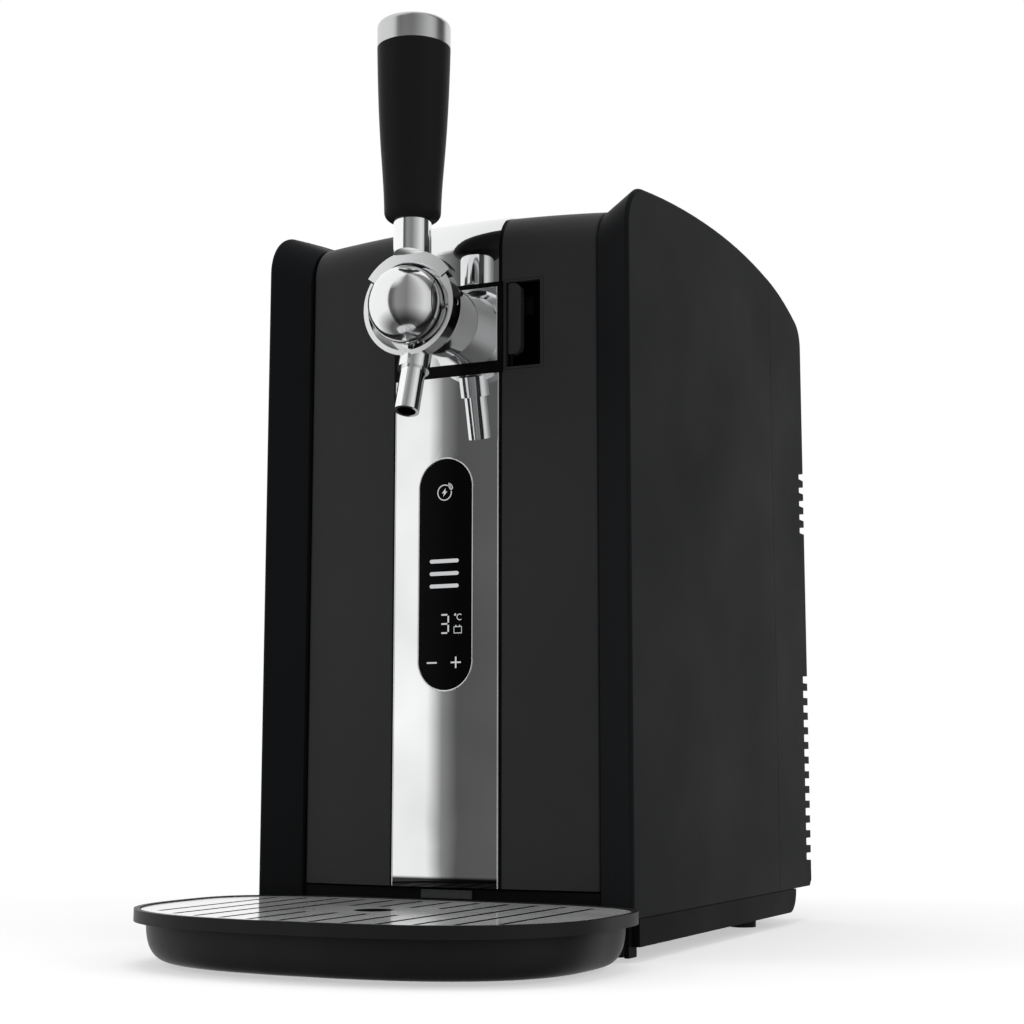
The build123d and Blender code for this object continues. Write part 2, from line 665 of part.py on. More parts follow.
def skin(proud, zone):
    """A thin layer on the door's curved front, cut to a zone."""
    return (centre_form(-proud) - centre_form(-skin_gap)) & zone


def door_front():
    """Moulded outer shell of the door: front, rounded top, sides and bottom, open at the back."""
    outer = centre_outer & door_zone(0)
    uprights = outer.edges().filter_by(lambda edge: edge.length > body_height / 2).sort_by(Axis.Y)[:2]
    outer = fillet(uprights, door_edge_round)
    swing = edge_x - hinge_x - fit_gap
    outer &= rod_z(swing, 0, far, hinge_x, hinge_y)
    shell = outer - (centre_form(door_wall) & block(-door_half + door_wall, door_half - door_wall,
                                                    -far, far, door_bottom + door_wall, far))
    shell += door_bush_seat(door_bottom, door_bottom + lower_pin_length / 2 + 3)
    shell += door_bush_seat(hinge_arm_z - bush_seat_height, hinge_arm_z - slot_clearance)
    shell -= rod_z(bush_radius, 0, hinge_arm_z, hinge_x, hinge_y)
    shell -= hinge_arm_path()
    shell -= block(grip_left - 0.2, grip_right + 0.2, -far, door_wall * 3, frame_bottom + 1.2, frame_top + 0.8)
    return shell - rod_y(tube_radius + shaft_clearance, -far, far, 0, tap_z)


def door_bush_seat(low, high):
    """Thickened corner of the door round the hinge axis."""
    return centre_outer & block(-door_half, hinge_x + bush_seat_margin,
                                door_setback + 1, hinge_y + bush_seat_margin, low, high)


def hinge_arm_path():
    """Room for the fixed upper arm while the door turns round it."""
    low, high = hinge_arm_z - slot_clearance, hinge_arm_z + hinge_arm_thickness + slot_clearance
    path = rod_z(hinge_eye_radius + 0.3, low, high, hinge_x, hinge_y)
    return path + block(-far, hinge_x + 6, hinge_y - hinge_eye_radius - 0.3, far, low, high)


def hinge_arm():
    """Steel arm from the chamber's flange into the door's hollow top; it holds the upper pin."""
    low, high = hinge_arm_z, hinge_arm_z + hinge_arm_thickness
    right = hinge_x + hinge_plate_reach
    arm = rod_z(hinge_eye_radius, low, high, hinge_x, hinge_y)
    arm += block(hinge_x - hinge_eye_radius, hinge_x + hinge_eye_radius,
                 hinge_y, flange_y + flange_depth, low, high)
    plate = block(-edge_x + fit_gap, right, insulation_front - hinge_plate_lead,
                  insulation_front + hinge_plate_depth, foam_top, high)
    neck = block(-edge_x + fit_gap, right, door_top_seam_y + hinge_plate_lead, insulation_front, low, high)
    return arm + plate + neck


def hinge_pins():
    lower = rod_z(pin_radius - shaft_clearance / 5, door_bottom - lower_pin_length / 2,
                  door_bottom + lower_pin_length / 2, hinge_x, hinge_y)
    upper = rod_z(pin_radius - shaft_clearance / 5, hinge_arm_z - upper_pin_length,
                  hinge_arm_z, hinge_x, hinge_y)
    return [lower, upper]


def hinge_bushes():
    """Plastic bushes in the door round the two hinge pins."""
    bushes = []
    for low in (door_bottom, hinge_arm_z - slot_clearance - bush_length):
        bush = rod_z(bush_radius, low, low + bush_length, hinge_x, hinge_y)
        bushes.append(bush - rod_z(pin_radius + shaft_clearance, 0, far, hinge_x, hinge_y))
    return bushes


def latch_channel(grow, lead):
    """Space in which the latch bar runs, from the grip to the right-hand edge of the door."""
    half = latch_height / 2 + grow
    start = grip_right + latch_channel_wall + fit_gap
    return block(start - lead, latch_channel_end + grow, grip_depth - grow, door_depth + 1,
                 latch_z - half, latch_z + half)


def door_liner():
    """Flat inner panel of the door, with the channel of the latch bar."""
    half = door_half - door_wall - fit_gap
    panel = block(-half, half, door_depth - door_liner_depth, door_depth,
                  door_bottom + door_wall + fit_gap, body_height - door_liner_drop)
    casing = latch_channel(latch_channel_wall, latch_channel_wall) & block(-far, far, 0, door_depth, 0, far)
    panel += casing
    panel -= latch_channel(fit_gap / 2, latch_channel_wall + 1)
    return panel - rod_y(tube_radius + shaft_clearance, 0, far, 0, tap_z)


def door_insulation():
    """Foam slab in the door, cut out for the display, the grip and the tap's tube."""
    half = door_half - door_wall - 2 * fit_gap
    low = door_bottom + door_wall + 2 * fit_gap
    slab = block(-half, half, 6.5, door_depth - door_liner_depth, low, body_height - door_liner_drop - 1)
    slab -= rod_y(tube_radius + 1, 0, far, 0, tap_z)
    slab -= block(grip_left - 1, grip_right + 1, -far, grip_depth + 1, frame_bottom, frame_top + 2)
    slab -= latch_channel(latch_channel_wall + fit_gap, latch_channel_wall + fit_gap)
    slab -= block(paddle_pin_x - latch_lead - 1, far, grip_depth, latch_y + latch_depth + 0.5,
                  latch_z - latch_height / 2 - fit_gap, latch_z + latch_height / 2 + fit_gap)
    slab -= block(-far, hinge_x + 6, -far, hinge_y + 6, 0, door_bottom + lower_pin_length / 2 + 4)
    return slab - block(-far, hinge_x + 6, -far, hinge_y + 6, hinge_arm_z - hinge_pocket, far)


def door_gasket():
    """Magnetic seal round the door's inner face."""
    half = door_half - gasket_inset
    low, high = ledge_top + door_gap, body_height - door_liner_drop
    ring = block(-half, half, door_depth, door_depth + gasket_thickness, low, high)
    inner = half - gasket_width
    return ring - block(-inner, inner, 0, far, low + gasket_width, high - gasket_width)


# ---- strip, display, latch frame and grip ----

def strip_zone(low, high):
    half = strip_width / 2
    return block(-half, half, -far, strip_back_reach, low, high)


def capsule(radius, y0=-far, y1=door_setback):
    """Upright capsule-shaped prism of the display."""
    prism = rod_y(radius, y0, y1, 0, display_top_z) + rod_y(radius, y0, y1, 0, display_bottom_z)
    return prism + block(-radius, radius, y0, y1, display_bottom_z, display_top_z)


def lower_strip():
    strip = skin(strip_thickness, strip_zone(door_bottom, frame_bottom - 0.2))
    return strip - capsule(display_radius + bezel_width + skin_gap)


def upper_strip():
    return skin(strip_thickness, strip_zone(frame_top + 0.2, far))


def display_bezel():
    ring = capsule(display_radius + bezel_width) - capsule(display_radius)
    return skin(bezel_proud, ring)


def display_window():
    return skin(lens_proud, capsule(display_radius - skin_gap))


def display_board():
    """Display circuit behind the door's front."""
    y = door_setback - door_bow + door_wall + fit_gap
    half = display_radius - 3
    board = block(-half, half, y, y + board_thickness, display_bottom_z - 10, display_top_z + 10)
    return board + block(-8, 8, y, y + 4, display_bottom_z + 20, display_top_z - 40)


def latch_frame():
    """Black frame across the strip, round the tap's back plate."""
    left = -strip_width / 2
    ring = block(left, frame_right_x, -far, door_depth, frame_bottom, frame_top)
    ring -= block(left + frame_left_bar, frame_right_x - frame_right_bar, -far, far,
                  frame_bottom + frame_bottom_bar, frame_top - frame_top_bar)
    return skin(frame_proud, ring) - rod_y(shank_radius + 0.2, -far, far, 0, tap_z)


def tap_plate():
    """Polished plate inside the frame that the tap stands on."""
    left = -strip_width / 2 + frame_left_bar + 0.2
    plate = block(left, frame_right_x - frame_right_bar - 0.2, -far, door_depth,
                  frame_bottom + frame_bottom_bar + 0.2, frame_top - frame_top_bar - 0.2)
    return skin(strip_thickness, plate) - rod_y(tube_radius + shaft_clearance, -far, far, 0, tap_z)


def grip_recess():
    """Cup beside the tap: fingers reach into it behind the paddle."""
    low, high = frame_bottom + 1.4, frame_top + 0.6
    cup = centre_outer & block(grip_left, grip_right, -far, grip_depth, low, high)
    hollow = block(grip_left + grip_wall, grip_right - grip_wall - grip_bevel, -far,
                   grip_depth - grip_wall, low + grip_wall, high - grip_wall)
    bevel = Plane.XY.offset(low + grip_wall) * make_face(Polyline(
        (grip_right - grip_wall - grip_bevel, grip_depth - grip_wall),
        (grip_right - grip_wall, -door_bow), (grip_right - grip_wall, -rim_proud),
        (grip_right - grip_wall - grip_bevel, -rim_proud), close=True))
    cup -= hollow + extrude(bevel, high - low - 2 * grip_wall)
    swing = (grip_depth - paddle_pin_y) * tan(radians(paddle_swing))
    half = paddle_arm_thickness / 2 + 1.0
    cup -= block(paddle_pin_x - half, paddle_pin_x + swing + half, grip_depth - 2 * grip_wall, far,
                 latch_z - paddle_arm_height / 2 - 0.8, latch_z + paddle_arm_height / 2 + 0.8)
    return cup - rod_z(paddle_pin_radius, low - 1, high + 1, paddle_pin_x, paddle_pin_y)


spring_turns, spring_wire, spring_radius = 5, 0.35, 1.9


def grip_paddle():
    """Sprung paddle; its left edge turns on an upright pin."""
    radius = paddle_thickness / 2
    plate = block(paddle_pin_x, paddle_pin_x + paddle_width - radius, paddle_pin_y - radius,
                  paddle_pin_y + radius, paddle_low, paddle_low + paddle_height)
    plate = fillet(plate.edges().filter_by(Axis.Y).group_by(Axis.X)[-1], paddle_corner)
    plate += rod_z(radius, paddle_low, paddle_low + paddle_height, paddle_pin_x, paddle_pin_y)
    tip_y = paddle_pin_y + paddle_arm_length
    half = paddle_arm_thickness / 2
    low, high = latch_z - paddle_arm_height / 2, latch_z + paddle_arm_height / 2
    plate += block(paddle_pin_x - half, paddle_pin_x + half, paddle_pin_y, tip_y, low, high)
    plate += rod_z(half, low, high, paddle_pin_x, tip_y)
    middle = paddle_low + paddle_height / 2
    plate -= rod_z(spring_radius + 0.45, middle - 4, middle + 4, paddle_pin_x, paddle_pin_y)
    return plate - rod_z(paddle_pin_radius + shaft_clearance, 0, far, paddle_pin_x, paddle_pin_y)


def paddle_pin():
    low, high = frame_bottom + 1.4, frame_top + 0.6
    return rod_z(paddle_pin_radius - shaft_clearance / 5, low + 0.2, high - 0.2, paddle_pin_x, paddle_pin_y)


def paddle_spring():
    """Torsion coil round the paddle's pin."""
    pitch = 2 * spring_wire + 0.25
    coil = Helix(pitch, pitch * spring_turns, spring_radius - spring_wire)
    section = Plane(coil @ 0, z_dir=coil % 0) * Circle(spring_wire)
    low = paddle_low + paddle_height / 2 - pitch * spring_turns / 2
    return Pos(paddle_pin_x, paddle_pin_y, low) * sweep(section, path=coil, is_frenet=True)


def latch_slider():
    """Bar moved sideways by the paddle's arm; its block carries the catch magnet."""
    half = latch_height / 2
    bar = block(paddle_pin_x - latch_lead, catch_x + magnet_width, latch_y, latch_y + latch_depth,
                latch_z - half, latch_z + half)
    face_y = flange_y - strike_thickness - magnet_gap - magnet_thickness
    bar += block(catch_x, catch_x + magnet_width, latch_y, face_y, latch_z - half, latch_z + half)
    slot_half = paddle_arm_thickness / 2 + 0.7
    slot_end = paddle_pin_y + paddle_arm_length + paddle_arm_thickness / 2 + 0.6
    return bar - block(paddle_pin_x - slot_half, paddle_pin_x + slot_half, 0, slot_end,
                       latch_z - paddle_arm_height / 2 - 0.4, latch_z + paddle_arm_height / 2 + 0.4)


def catch_magnet():
    y = flange_y - strike_thickness - magnet_gap
    half = latch_height / 2
    return block(catch_x, catch_x + magnet_width, y - magnet_thickness, y, latch_z - half, latch_z + half)


def catch_strike():
    """Steel plate on the chamber's flange that the magnet holds while the bar is in its rest place."""
    half = latch_height / 2
    return block(catch_x, catch_x + magnet_width, flange_y - strike_thickness, flange_y,
                 latch_z - half, latch_z + half)


# ---- tap ----

def spout_line(distance):
    """A point on the spout's axis, measured up from its tip."""
    lean = radians(spout_lean)
    return (0, tap_y + distance * sin(lean), spout_tip_z + distance * cos(lean))


def sector(radius, low_angle, high_angle, y0, y1):
    """Wedge round the tap's axis, with angles from +X towards +Z."""
    reach = 2 * radius
    middle = (low_angle + high_angle) / 2
    corners = [(0, 0)] + [(reach * cos(radians(a)), reach * sin(radians(a)))
                          for a in (low_angle, middle, high_angle)]
    face = make_face(Polyline(*corners, close=True))
    wedge = extrude(Plane.XZ * face, -(y1 - y0))
    return Pos(0, y0, tap_z) * wedge


def tap_body():
    """Cast body: shank to the door, a collar round the ball and the boss for the spout."""
    back_y = pivot_y + collar_depth / 2
    plate_y = door_setback - door_bow - strip_thickness
    front_y = pivot_y - collar_depth / 2
    profile = make_face(Polyline(
        (0, back_y), (collar_radius, back_y), (shank_root_radius, back_y + shank_taper),
        (shank_radius, plate_y), (tube_radius, plate_y), (tube_radius, tube_reach),
        (0, tube_reach), close=True))
    body = Pos(0, 0, tap_z) * revolve(Plane.XY * profile, Axis.Y)
    ring = rod_y(collar_radius, front_y, back_y, 0, tap_z)
    ring -= rod_y(collar_radius - collar_wall, front_y - 1, back_y + 1, 0, tap_z)
    ring -= sector(collar_radius, collar_horn, 180 - collar_horn, front_y - 1, back_y)
    body += ring
    top = spout_line(spout_length + 2)
    boss = rod(boss_radius, spout_line(spout_length - boss_length), top)
    body += boss - rod_y(collar_radius - collar_wall, front_y - 5, back_y, 0, tap_z)
    body -= rod(spout_radius + shaft_clearance / 5, spout_line(0), spout_line(spout_length))
    body -= rod(spout_bore, spout_line(0), spout_line(spout_length + 12))
    body -= rod_y(bore_radius, back_y - 1, tube_reach + 1, 0, tap_z)
    return body - rod_x(pivot_pin_radius, -collar_radius - 1, collar_radius + 1, pivot_y, tap_z)


def seam_plane():
    """Parting plane near the right side of the ball."""
    turn = radians(seam_angle)
    normal = Vector(cos(turn), sin(turn), 0)
    return Plane(Vector(0, tap_y, tap_z) + normal * seam_offset, z_dir=normal)


def ball_solid():
    back_y = pivot_y + collar_depth / 2
    ball = Pos(0, tap_y, tap_z) * Sphere(ball_radius)
    ball &= block(-far, far, -far, back_y, 0, far)
    ball -= rod_y(bore_radius - 1, tap_y, back_y + 1, 0, tap_z)
    return ball - rod(spout_bore, spout_line(spout_length - 6), (0, tap_y + 4, tap_z))


def tap_ball():
    """Polished ball, left of its parting plane."""
    plane = seam_plane()
    keep = extrude(plane * Rectangle(far, far), -far)
    socket = extrude(plane.offset(-cap_peg_length - 0.2) * Circle(cap_peg_radius + shaft_clearance),
                     cap_peg_length + 1)
    return (ball_solid() & keep) - socket


def ball_side_cap():
    """Right-hand cap of the ball, a thin slit away from the rest."""
    plane = seam_plane()
    keep = extrude(plane.offset(seam_slit) * Rectangle(far, far), far)
    peg = extrude(plane.offset(-cap_peg_length) * Circle(cap_peg_radius), cap_peg_length + seam_slit)
    return (ball_solid() & keep) + peg


def spout_tube():
    tube = rod(spout_radius, spout_line(0), spout_line(spout_length - 0.1))
    return tube - rod(spout_bore, spout_line(-1), spout_line(spout_length + 1))


def tube_nut():
    """Hexagon nut that clamps the tap to the door."""
    nut = extrude(Plane.XZ * RegularPolygon(nut_radius, 6), -nut_depth)
    nut = Pos(0, door_depth, tap_z) * nut
    return nut - rod_y(tube_radius, 0, far, 0, tap_z)


def lever_yoke():
    """Arch over the ball: a heavy crown and two thin legs down to the pivots."""
    y0, y1 = pivot_y - yoke_depth / 2, pivot_y + yoke_depth / 2
    outer = collar_radius - collar_wall - yoke_gap
    inner = outer - yoke_bond
    crown = rod_y(yoke_radius, y0, y1, 0, tap_z) - rod_y(inner, y0 - 1, y1 + 1, 0, tap_z)
    crown &= sector(yoke_radius, 90 - yoke_span, 90 + yoke_span, y0 - 1, y1 + 1)
    leg_y0, leg_y1 = pivot_y - leg_depth / 2, pivot_y + leg_depth / 2
    legs = rod_y(outer, leg_y0, leg_y1, 0, tap_z) - rod_y(outer - yoke_leg, y0 - 1, y1 + 1, 0, tap_z)
    legs &= block(-far, far, -far, far, tap_z, far)
    yoke = crown + legs
    for side in (-1, 1):
        x0, x1 = sorted((side * (outer - yoke_leg), side * (outer - 0.25)))
        yoke += rod_x(leg_depth / 2 - 0.5, x0, x1, pivot_y, tap_z)
    yoke -= rod_x(pivot_pin_radius + shaft_clearance, -far, far, pivot_y, tap_z)
    for step in range(yoke_relief_steps + 1):
        turn = radians(lever_swing) * step / yoke_relief_steps
        place = Pos(0, pivot_y - pivot_setback * cos(turn), tap_z + pivot_setback * sin(turn))
        yoke -= place * Sphere(ball_radius + yoke_gap)
    return yoke


def pivot_pins():
    inner = ball_radius + 0.3
    pins = []
    for side in (-1, 1):
        x0, x1 = sorted((side * inner, side * (collar_radius - 0.3)))
        pins.append(rod_x(pivot_pin_radius - shaft_clearance / 5, x0, x1, pivot_y, tap_z))
    return pins


def lever_stem():
    """Round neck on the yoke, with a stud that the grip screws onto."""
    stem = rod_z(stem_radius, tap_z + yoke_radius - yoke_crown, stem_top_z, 0, pivot_y)
    stem -= rod_y(yoke_radius + skin_gap, -far, far, 0, tap_z)
    return stem + rod_z(stud_radius - shaft_clearance, stem_top_z - 1, stem_top_z + stud_length, 0, pivot_y)


def handle_grip():
    """Black grip that swells towards the top."""
    low, high = stem_top_z, stem_top_z + grip_length
    side = Spline((grip_low_radius, low + grip_foot_round), (grip_waist_radius, low + grip_waist_height),
                  (grip_high_radius, high), tangents=[(0.02, 1), (0.02, 1)])
    foot = RadiusArc((grip_low_radius - grip_foot_round, low), (grip_low_radius, low + grip_foot_round),
                     -grip_foot_round)
    section = make_face([foot, side, Line((grip_high_radius, high), (0, high)), Line((0, high), (0, low)),
                         Line((0, low), (grip_low_radius - grip_foot_round, low))])
    grip = Pos(0, pivot_y, 0) * revolve(Plane.XZ * section, Axis.Z)
    return grip - rod_z(stud_radius, low - 1, low + stud_length + 0.5, 0, pivot_y)


def handle_cap():
    low = stem_top_z + grip_length + skin_gap
    cap = rod_z(grip_high_radius, low, low + cap_height, 0, pivot_y)
    return fillet(cap.edges().sort_by(Axis.Z)[-1], cap_round)


def valve_plunger():
    """Plunger in the tap's bore; the lever moves it to let the beer through."""
    back_y = pivot_y + collar_depth / 2 + 2
    rod_part = rod_y(plunger_radius, back_y, back_y + plunger_length, 0, tap_z)
    return rod_part + rod_y(plunger_head, back_y + plunger_length, back_y + plunger_length + 4, 0, tap_z)


# ---- drip tray ----

def curve_share(share, power):
    """One coordinate of the tray's rounded outline from the other, both as shares of the half sizes."""
    return (1 - share ** power) ** (1 / power)


def tray_outline(inset):
    """Rounded outline, deeper and rounder in front of its widest line than behind it."""
    half, front, rear = tray_half_width - inset, tray_front - inset, tray_rear - inset
    edges = []
    for sx, depth, power in ((1, rear, rear_power), (-1, rear, rear_power),
                             (-1, -front, front_power), (1, -front, front_power)):
        even = [0.5 ** (1 / power) * index / 4 for index in range(5)]
        quarter = [(curve_share(share, power), share) for share in even]
        quarter += [(share, curve_share(share, power)) for share in reversed(even[:-1])]
        points = [(sx * half * x, depth * y) for x, y in quarter]
        edges.append(Spline(*points, tangents=[(0, depth), (-sx, 0)]))
    return Pos(0, tray_y, 0) * make_face(edges)


def tray_bowl(inset, floor):
    """Bowl under the rim: upright at the rim and rounded in towards the floor."""
    depth = rim_top - rim_height - floor
    sections = []
    for step in range(bowl_steps + 1):
        turn = radians(90) * step / bowl_steps
        level = 1 - cos(turn) ** (2 / bowl_power) if step < bowl_steps else 1
        shrink = bowl_shrink * (1 - sin(turn) ** (2 / bowl_power))
        sections.append(Pos(0, 0, floor + depth * level) * tray_outline(rim_inset + inset + shrink))
    return loft(sections)


def drip_tray():
    rim_low = rim_top - rim_height
    rim = extrude(Pos(0, 0, rim_low) * tray_outline(0), rim_height)
    tray = rim + tray_bowl(0, tray_floor)
    seat = extrude(Pos(0, 0, rim_top - grid_sink - grid_thickness) * tray_outline(grid_inset - grid_fit), far)
    well = extrude(Pos(0, 0, rim_low) * tray_outline(rim_inset + tray_wall), far)
    return tray - seat - well - tray_bowl(tray_wall, tray_floor + tray_wall)


def tray_feet():
    feet_list = []
    for sx in (-1, 1):
        for y in (tray_y - tray_front / 2, tray_y + tray_rear / 3):
            feet_list.append(rod_z(tray_foot_radius, 0, tray_floor, sx * tray_half_width / 2, y))
    return feet_list


def outline_reach(x, inset, depth, power):
    """Reach of the tray's outline at one x, in front of or behind its widest line."""
    half = tray_half_width - inset
    return (depth - inset) * curve_share(abs(x) / half, power)


def drip_grid():
    """Steel plate with front-to-back slots and a finger hole."""
    top = rim_top - grid_sink
    grid = extrude(Pos(0, 0, top - grid_thickness) * tray_outline(grid_inset), grid_thickness)
    cuts = []
    for index in range(grid_slots):
        x = (index - (grid_slots - 1) / 2) * grid_pitch
        inset = grid_inset + grid_margin_front
        if abs(x) >= tray_half_width - inset:
            continue
        front = tray_y - outline_reach(x, inset, tray_front, front_power)
        rear = tray_y + outline_reach(x, grid_inset + grid_margin_rear, tray_rear, rear_power)
        keep_out = finger_hole_radius + finger_hole_margin
        if abs(x) < keep_out + grid_pitch / 2:
            spans = [(front, finger_hole_y - keep_out), (finger_hole_y + keep_out, rear)]
        else:
            spans = [(front, rear)]
        for start, end in spans:
            cuts.append(block(x - grid_slot_width / 2, x + grid_slot_width / 2, start, end, 0, far))
    for cut in cuts:
        grid -= cut
    return grid - rod_z(finger_hole_radius, 0, far, 0, finger_hole_y)


os.makedirs("parts", exist_ok=True)
save("base", base())
save("feet", *feet())
save("tray_catch", tray_catch())
save("side_panel_left", side_panel(-1))
save("side_panel_right", side_panel(1))
save("top_cover", top_cover())
save("rear_cover", rear_cover())
save("rear_screws", *rear_screws())
save("mains_inlet", mains_inlet())
save("chamber_liner", chamber_liner())
save("insulation_left", insulation(-1))
save("insulation_right", insulation(1))
save("cold_plate", cold_plate())
save("cold_block", cold_block())
save("keg_stand", keg_stand())
save("peltier_module", peltier_module())
save("heat_sink", heat_sink())
save("fan_frame", fan_frame())
save("fan_rotor", fan_rotor())
save("power_supply", power_supply())
save("control_board", control_board())
save("air_pump", air_pump())
save("air_fitting", air_fitting())
save("air_hose", air_hose())
save("hinge_arm", hinge_arm())
save("hinge_pins", *hinge_pins())
save("catch_magnet", catch_magnet())
save("catch_strike", catch_strike())
save("door_front", door_front())
save("hinge_bushes", *hinge_bushes())
save("latch_slider", latch_slider())
save("door_liner", door_liner())
save("door_insulation", door_insulation())
save("door_gasket", door_gasket())
save("lower_strip", lower_strip())
save("upper_strip", upper_strip())
save("display_bezel", display_bezel())
save("display_window", display_window())
save("display_board", display_board())
save("latch_frame", latch_frame())
save("tap_plate", tap_plate())
save("grip_recess", grip_recess())
save("grip_paddle", grip_paddle())
save("paddle_pin", paddle_pin())
save("paddle_spring", paddle_spring())
save("tap_body", tap_body())
save("tap_ball", tap_ball())
save("ball_side_cap", ball_side_cap())
save("spout_tube", spout_tube())
save("tube_nut", tube_nut())
save("pivot_pins", *pivot_pins())
save("lever_yoke", lever_yoke())
save("lever_stem", lever_stem())
save("handle_grip", handle_grip())
save("handle_cap", handle_cap())
save("valve_plunger", valve_plunger())
save("drip_tray", drip_tray())
save("tray_feet", *tray_feet())
save("drip_grid", drip_grid())
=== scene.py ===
"""Dresses the countertop keg dispenser: finishes for every piece, the lit display and the studio."""

import logging
import math
from collections.abc import Callable
from dataclasses import dataclass, field
from enum import Enum

import bmesh
import bpy
from mathutils import Matrix, Vector


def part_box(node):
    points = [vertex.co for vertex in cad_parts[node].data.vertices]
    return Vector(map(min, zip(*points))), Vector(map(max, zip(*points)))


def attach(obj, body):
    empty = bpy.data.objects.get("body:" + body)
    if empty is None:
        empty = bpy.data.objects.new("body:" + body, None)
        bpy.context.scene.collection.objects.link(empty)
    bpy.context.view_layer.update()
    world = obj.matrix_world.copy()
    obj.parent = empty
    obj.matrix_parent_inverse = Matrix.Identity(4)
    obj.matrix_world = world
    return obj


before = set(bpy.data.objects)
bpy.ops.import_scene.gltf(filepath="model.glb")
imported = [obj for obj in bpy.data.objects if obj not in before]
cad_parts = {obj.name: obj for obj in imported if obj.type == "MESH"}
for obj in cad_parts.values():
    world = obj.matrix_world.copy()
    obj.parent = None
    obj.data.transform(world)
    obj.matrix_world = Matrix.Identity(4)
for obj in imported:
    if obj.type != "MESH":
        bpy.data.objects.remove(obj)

LOG = logging.getLogger("dispenser")
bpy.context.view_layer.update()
MM = 0.001
BOW_RADIUS = 1287.0
"""Radius in millimetres of the gentle bow across the door's strip and its display."""
Colour = tuple[float, float, float]
Point = tuple[float, float, float]


# ---------------------------------------------------------------- node building


class Nodes:
    """A thin helper round one node tree, for materials, groups and the world."""

    def __init__(self, tree: bpy.types.NodeTree) -> None:
        """Keep the tree.

        Args:
            tree: the node tree that is built.
        """
        self.tree = tree

    def add(self, kind: str, **settings: object) -> bpy.types.Node:
        """Add one node and set its properties and plain inputs.

        Args:
            kind: the node's type name without the ShaderNode prefix.
            **settings: node properties, or socket values by name with spaces as underscores.

        Returns:
            The new node.
        """
        node = self.tree.nodes.new("ShaderNode" + kind)
        for name, value in settings.items():
            if hasattr(node, name):
                setattr(node, name, value)
            else:
                node.inputs[name.replace("_", " ")].default_value = value
        return node

    def link(self, source: bpy.types.NodeSocket, target: bpy.types.NodeSocket) -> None:
        """Connect two sockets."""
        self.tree.links.new(source, target)

    def ramp(self, source: bpy.types.NodeSocket, low: float, high: float,
             first: float = 0.0, last: float = 1.0) -> bpy.types.NodeSocket:
        """Remap a value to a clamped range.

        Args:
            source: the value.
            low: input that gives first.
            high: input that gives last.
            first: output at low.
            last: output at high.

        Returns:
            The remapped value.
        """
        node = self.add("MapRange", clamp=True)
        for index, value in ((1, low), (2, high), (3, first), (4, last)):
            node.inputs[index].default_value = value
        self.link(source, node.inputs[0])
        return node.outputs[0]

    def place(self) -> bpy.types.NodeSocket:
        """Return the place in the object's own frame, in metres."""
        return self.add("TexCoord").outputs["Object"]

    def axes(self, vector: bpy.types.NodeSocket) -> dict[str, bpy.types.NodeSocket]:
        """Split a vector.

        Args:
            vector: the vector.

        Returns:
            Its X, Y and Z by name.
        """
        parts = self.add("SeparateXYZ")
        self.link(vector, parts.inputs[0])
        return {axis: parts.outputs[axis] for axis in "XYZ"}

    def math(self, operation: str, first: object, second: object = 0.0) -> bpy.types.NodeSocket:
        """Combine two values, each a socket or a number.

        Args:
            operation: the Math node's operation.
            first: the first value.
            second: the second value.

        Returns:
            The result.
        """
        node = self.add("Math", operation=operation)
        for slot, value in enumerate((first, second)):
            if isinstance(value, (int, float)):
                node.inputs[slot].default_value = value
            else:
                self.link(value, node.inputs[slot])
        return node.outputs[0]


class Socket(Enum):
    """Kinds of socket that a shared effect has."""

    VALUE = "NodeSocketFloat"
    COLOUR = "NodeSocketColor"
    VECTOR = "NodeSocketVector"


def effect(name: str, inputs: dict[str, tuple[Socket, object]], outputs: dict[str, Socket],
           fill: Callable[[Nodes, bpy.types.Node, bpy.types.Node], None]) -> bpy.types.NodeTree:
    """Build one shared effect as a shader node group, or return it if it exists.

    Args:
        name: the group's name.
        inputs: name to kind and default of each input.
        outputs: name to kind of each output.
        fill: adds the group's nodes between its input and output nodes.

    Returns:
        The node group.
    """
    if name in bpy.data.node_groups:
        return bpy.data.node_groups[name]
    tree = bpy.data.node_groups.new(name, "ShaderNodeTree")
    for label, (kind, default) in inputs.items():
        socket = tree.interface.new_socket(label, in_out="INPUT", socket_type=kind.value)
        socket.default_value = default
    for label, kind in outputs.items():
        tree.interface.new_socket(label, in_out="OUTPUT", socket_type=kind.value)
    enter = tree.nodes.new("NodeGroupInput")
    leave = tree.nodes.new("NodeGroupOutput")
    fill(Nodes(tree), enter, leave)
    return tree


MOTTLE_RANGE = (0.3, 0.7)
"""Values of the broad noise that give a mottling of 0 and 1."""


def moulded_grain() -> bpy.types.NodeTree:
    """Fine spark-eroded grain of moulded plastic.

    Returns:
        A group with the grain's height, and a slow mottling from 0 to 1.
    """
    def fill(nodes: Nodes, enter: bpy.types.Node, leave: bpy.types.Node) -> None:
        """Add the grain's nodes."""
        place = nodes.place()
        grain = nodes.add("TexNoise", Detail=3.0, Roughness=0.6)
        nodes.link(place, grain.inputs["Vector"])
        nodes.link(enter.outputs["Density"], grain.inputs["Scale"])
        broad = nodes.add("TexNoise", Scale=9.0, Detail=4.0, Roughness=0.55)
        nodes.link(place, broad.inputs["Vector"])
        nodes.link(grain.outputs["Fac"], leave.inputs["Height"])
        nodes.link(nodes.ramp(broad.outputs["Fac"], *MOTTLE_RANGE), leave.inputs["Mottle"])

    return effect("moulded_grain", {"Density": (Socket.VALUE, 900.0)},
                  {"Height": Socket.VALUE, "Mottle": Socket.VALUE}, fill)


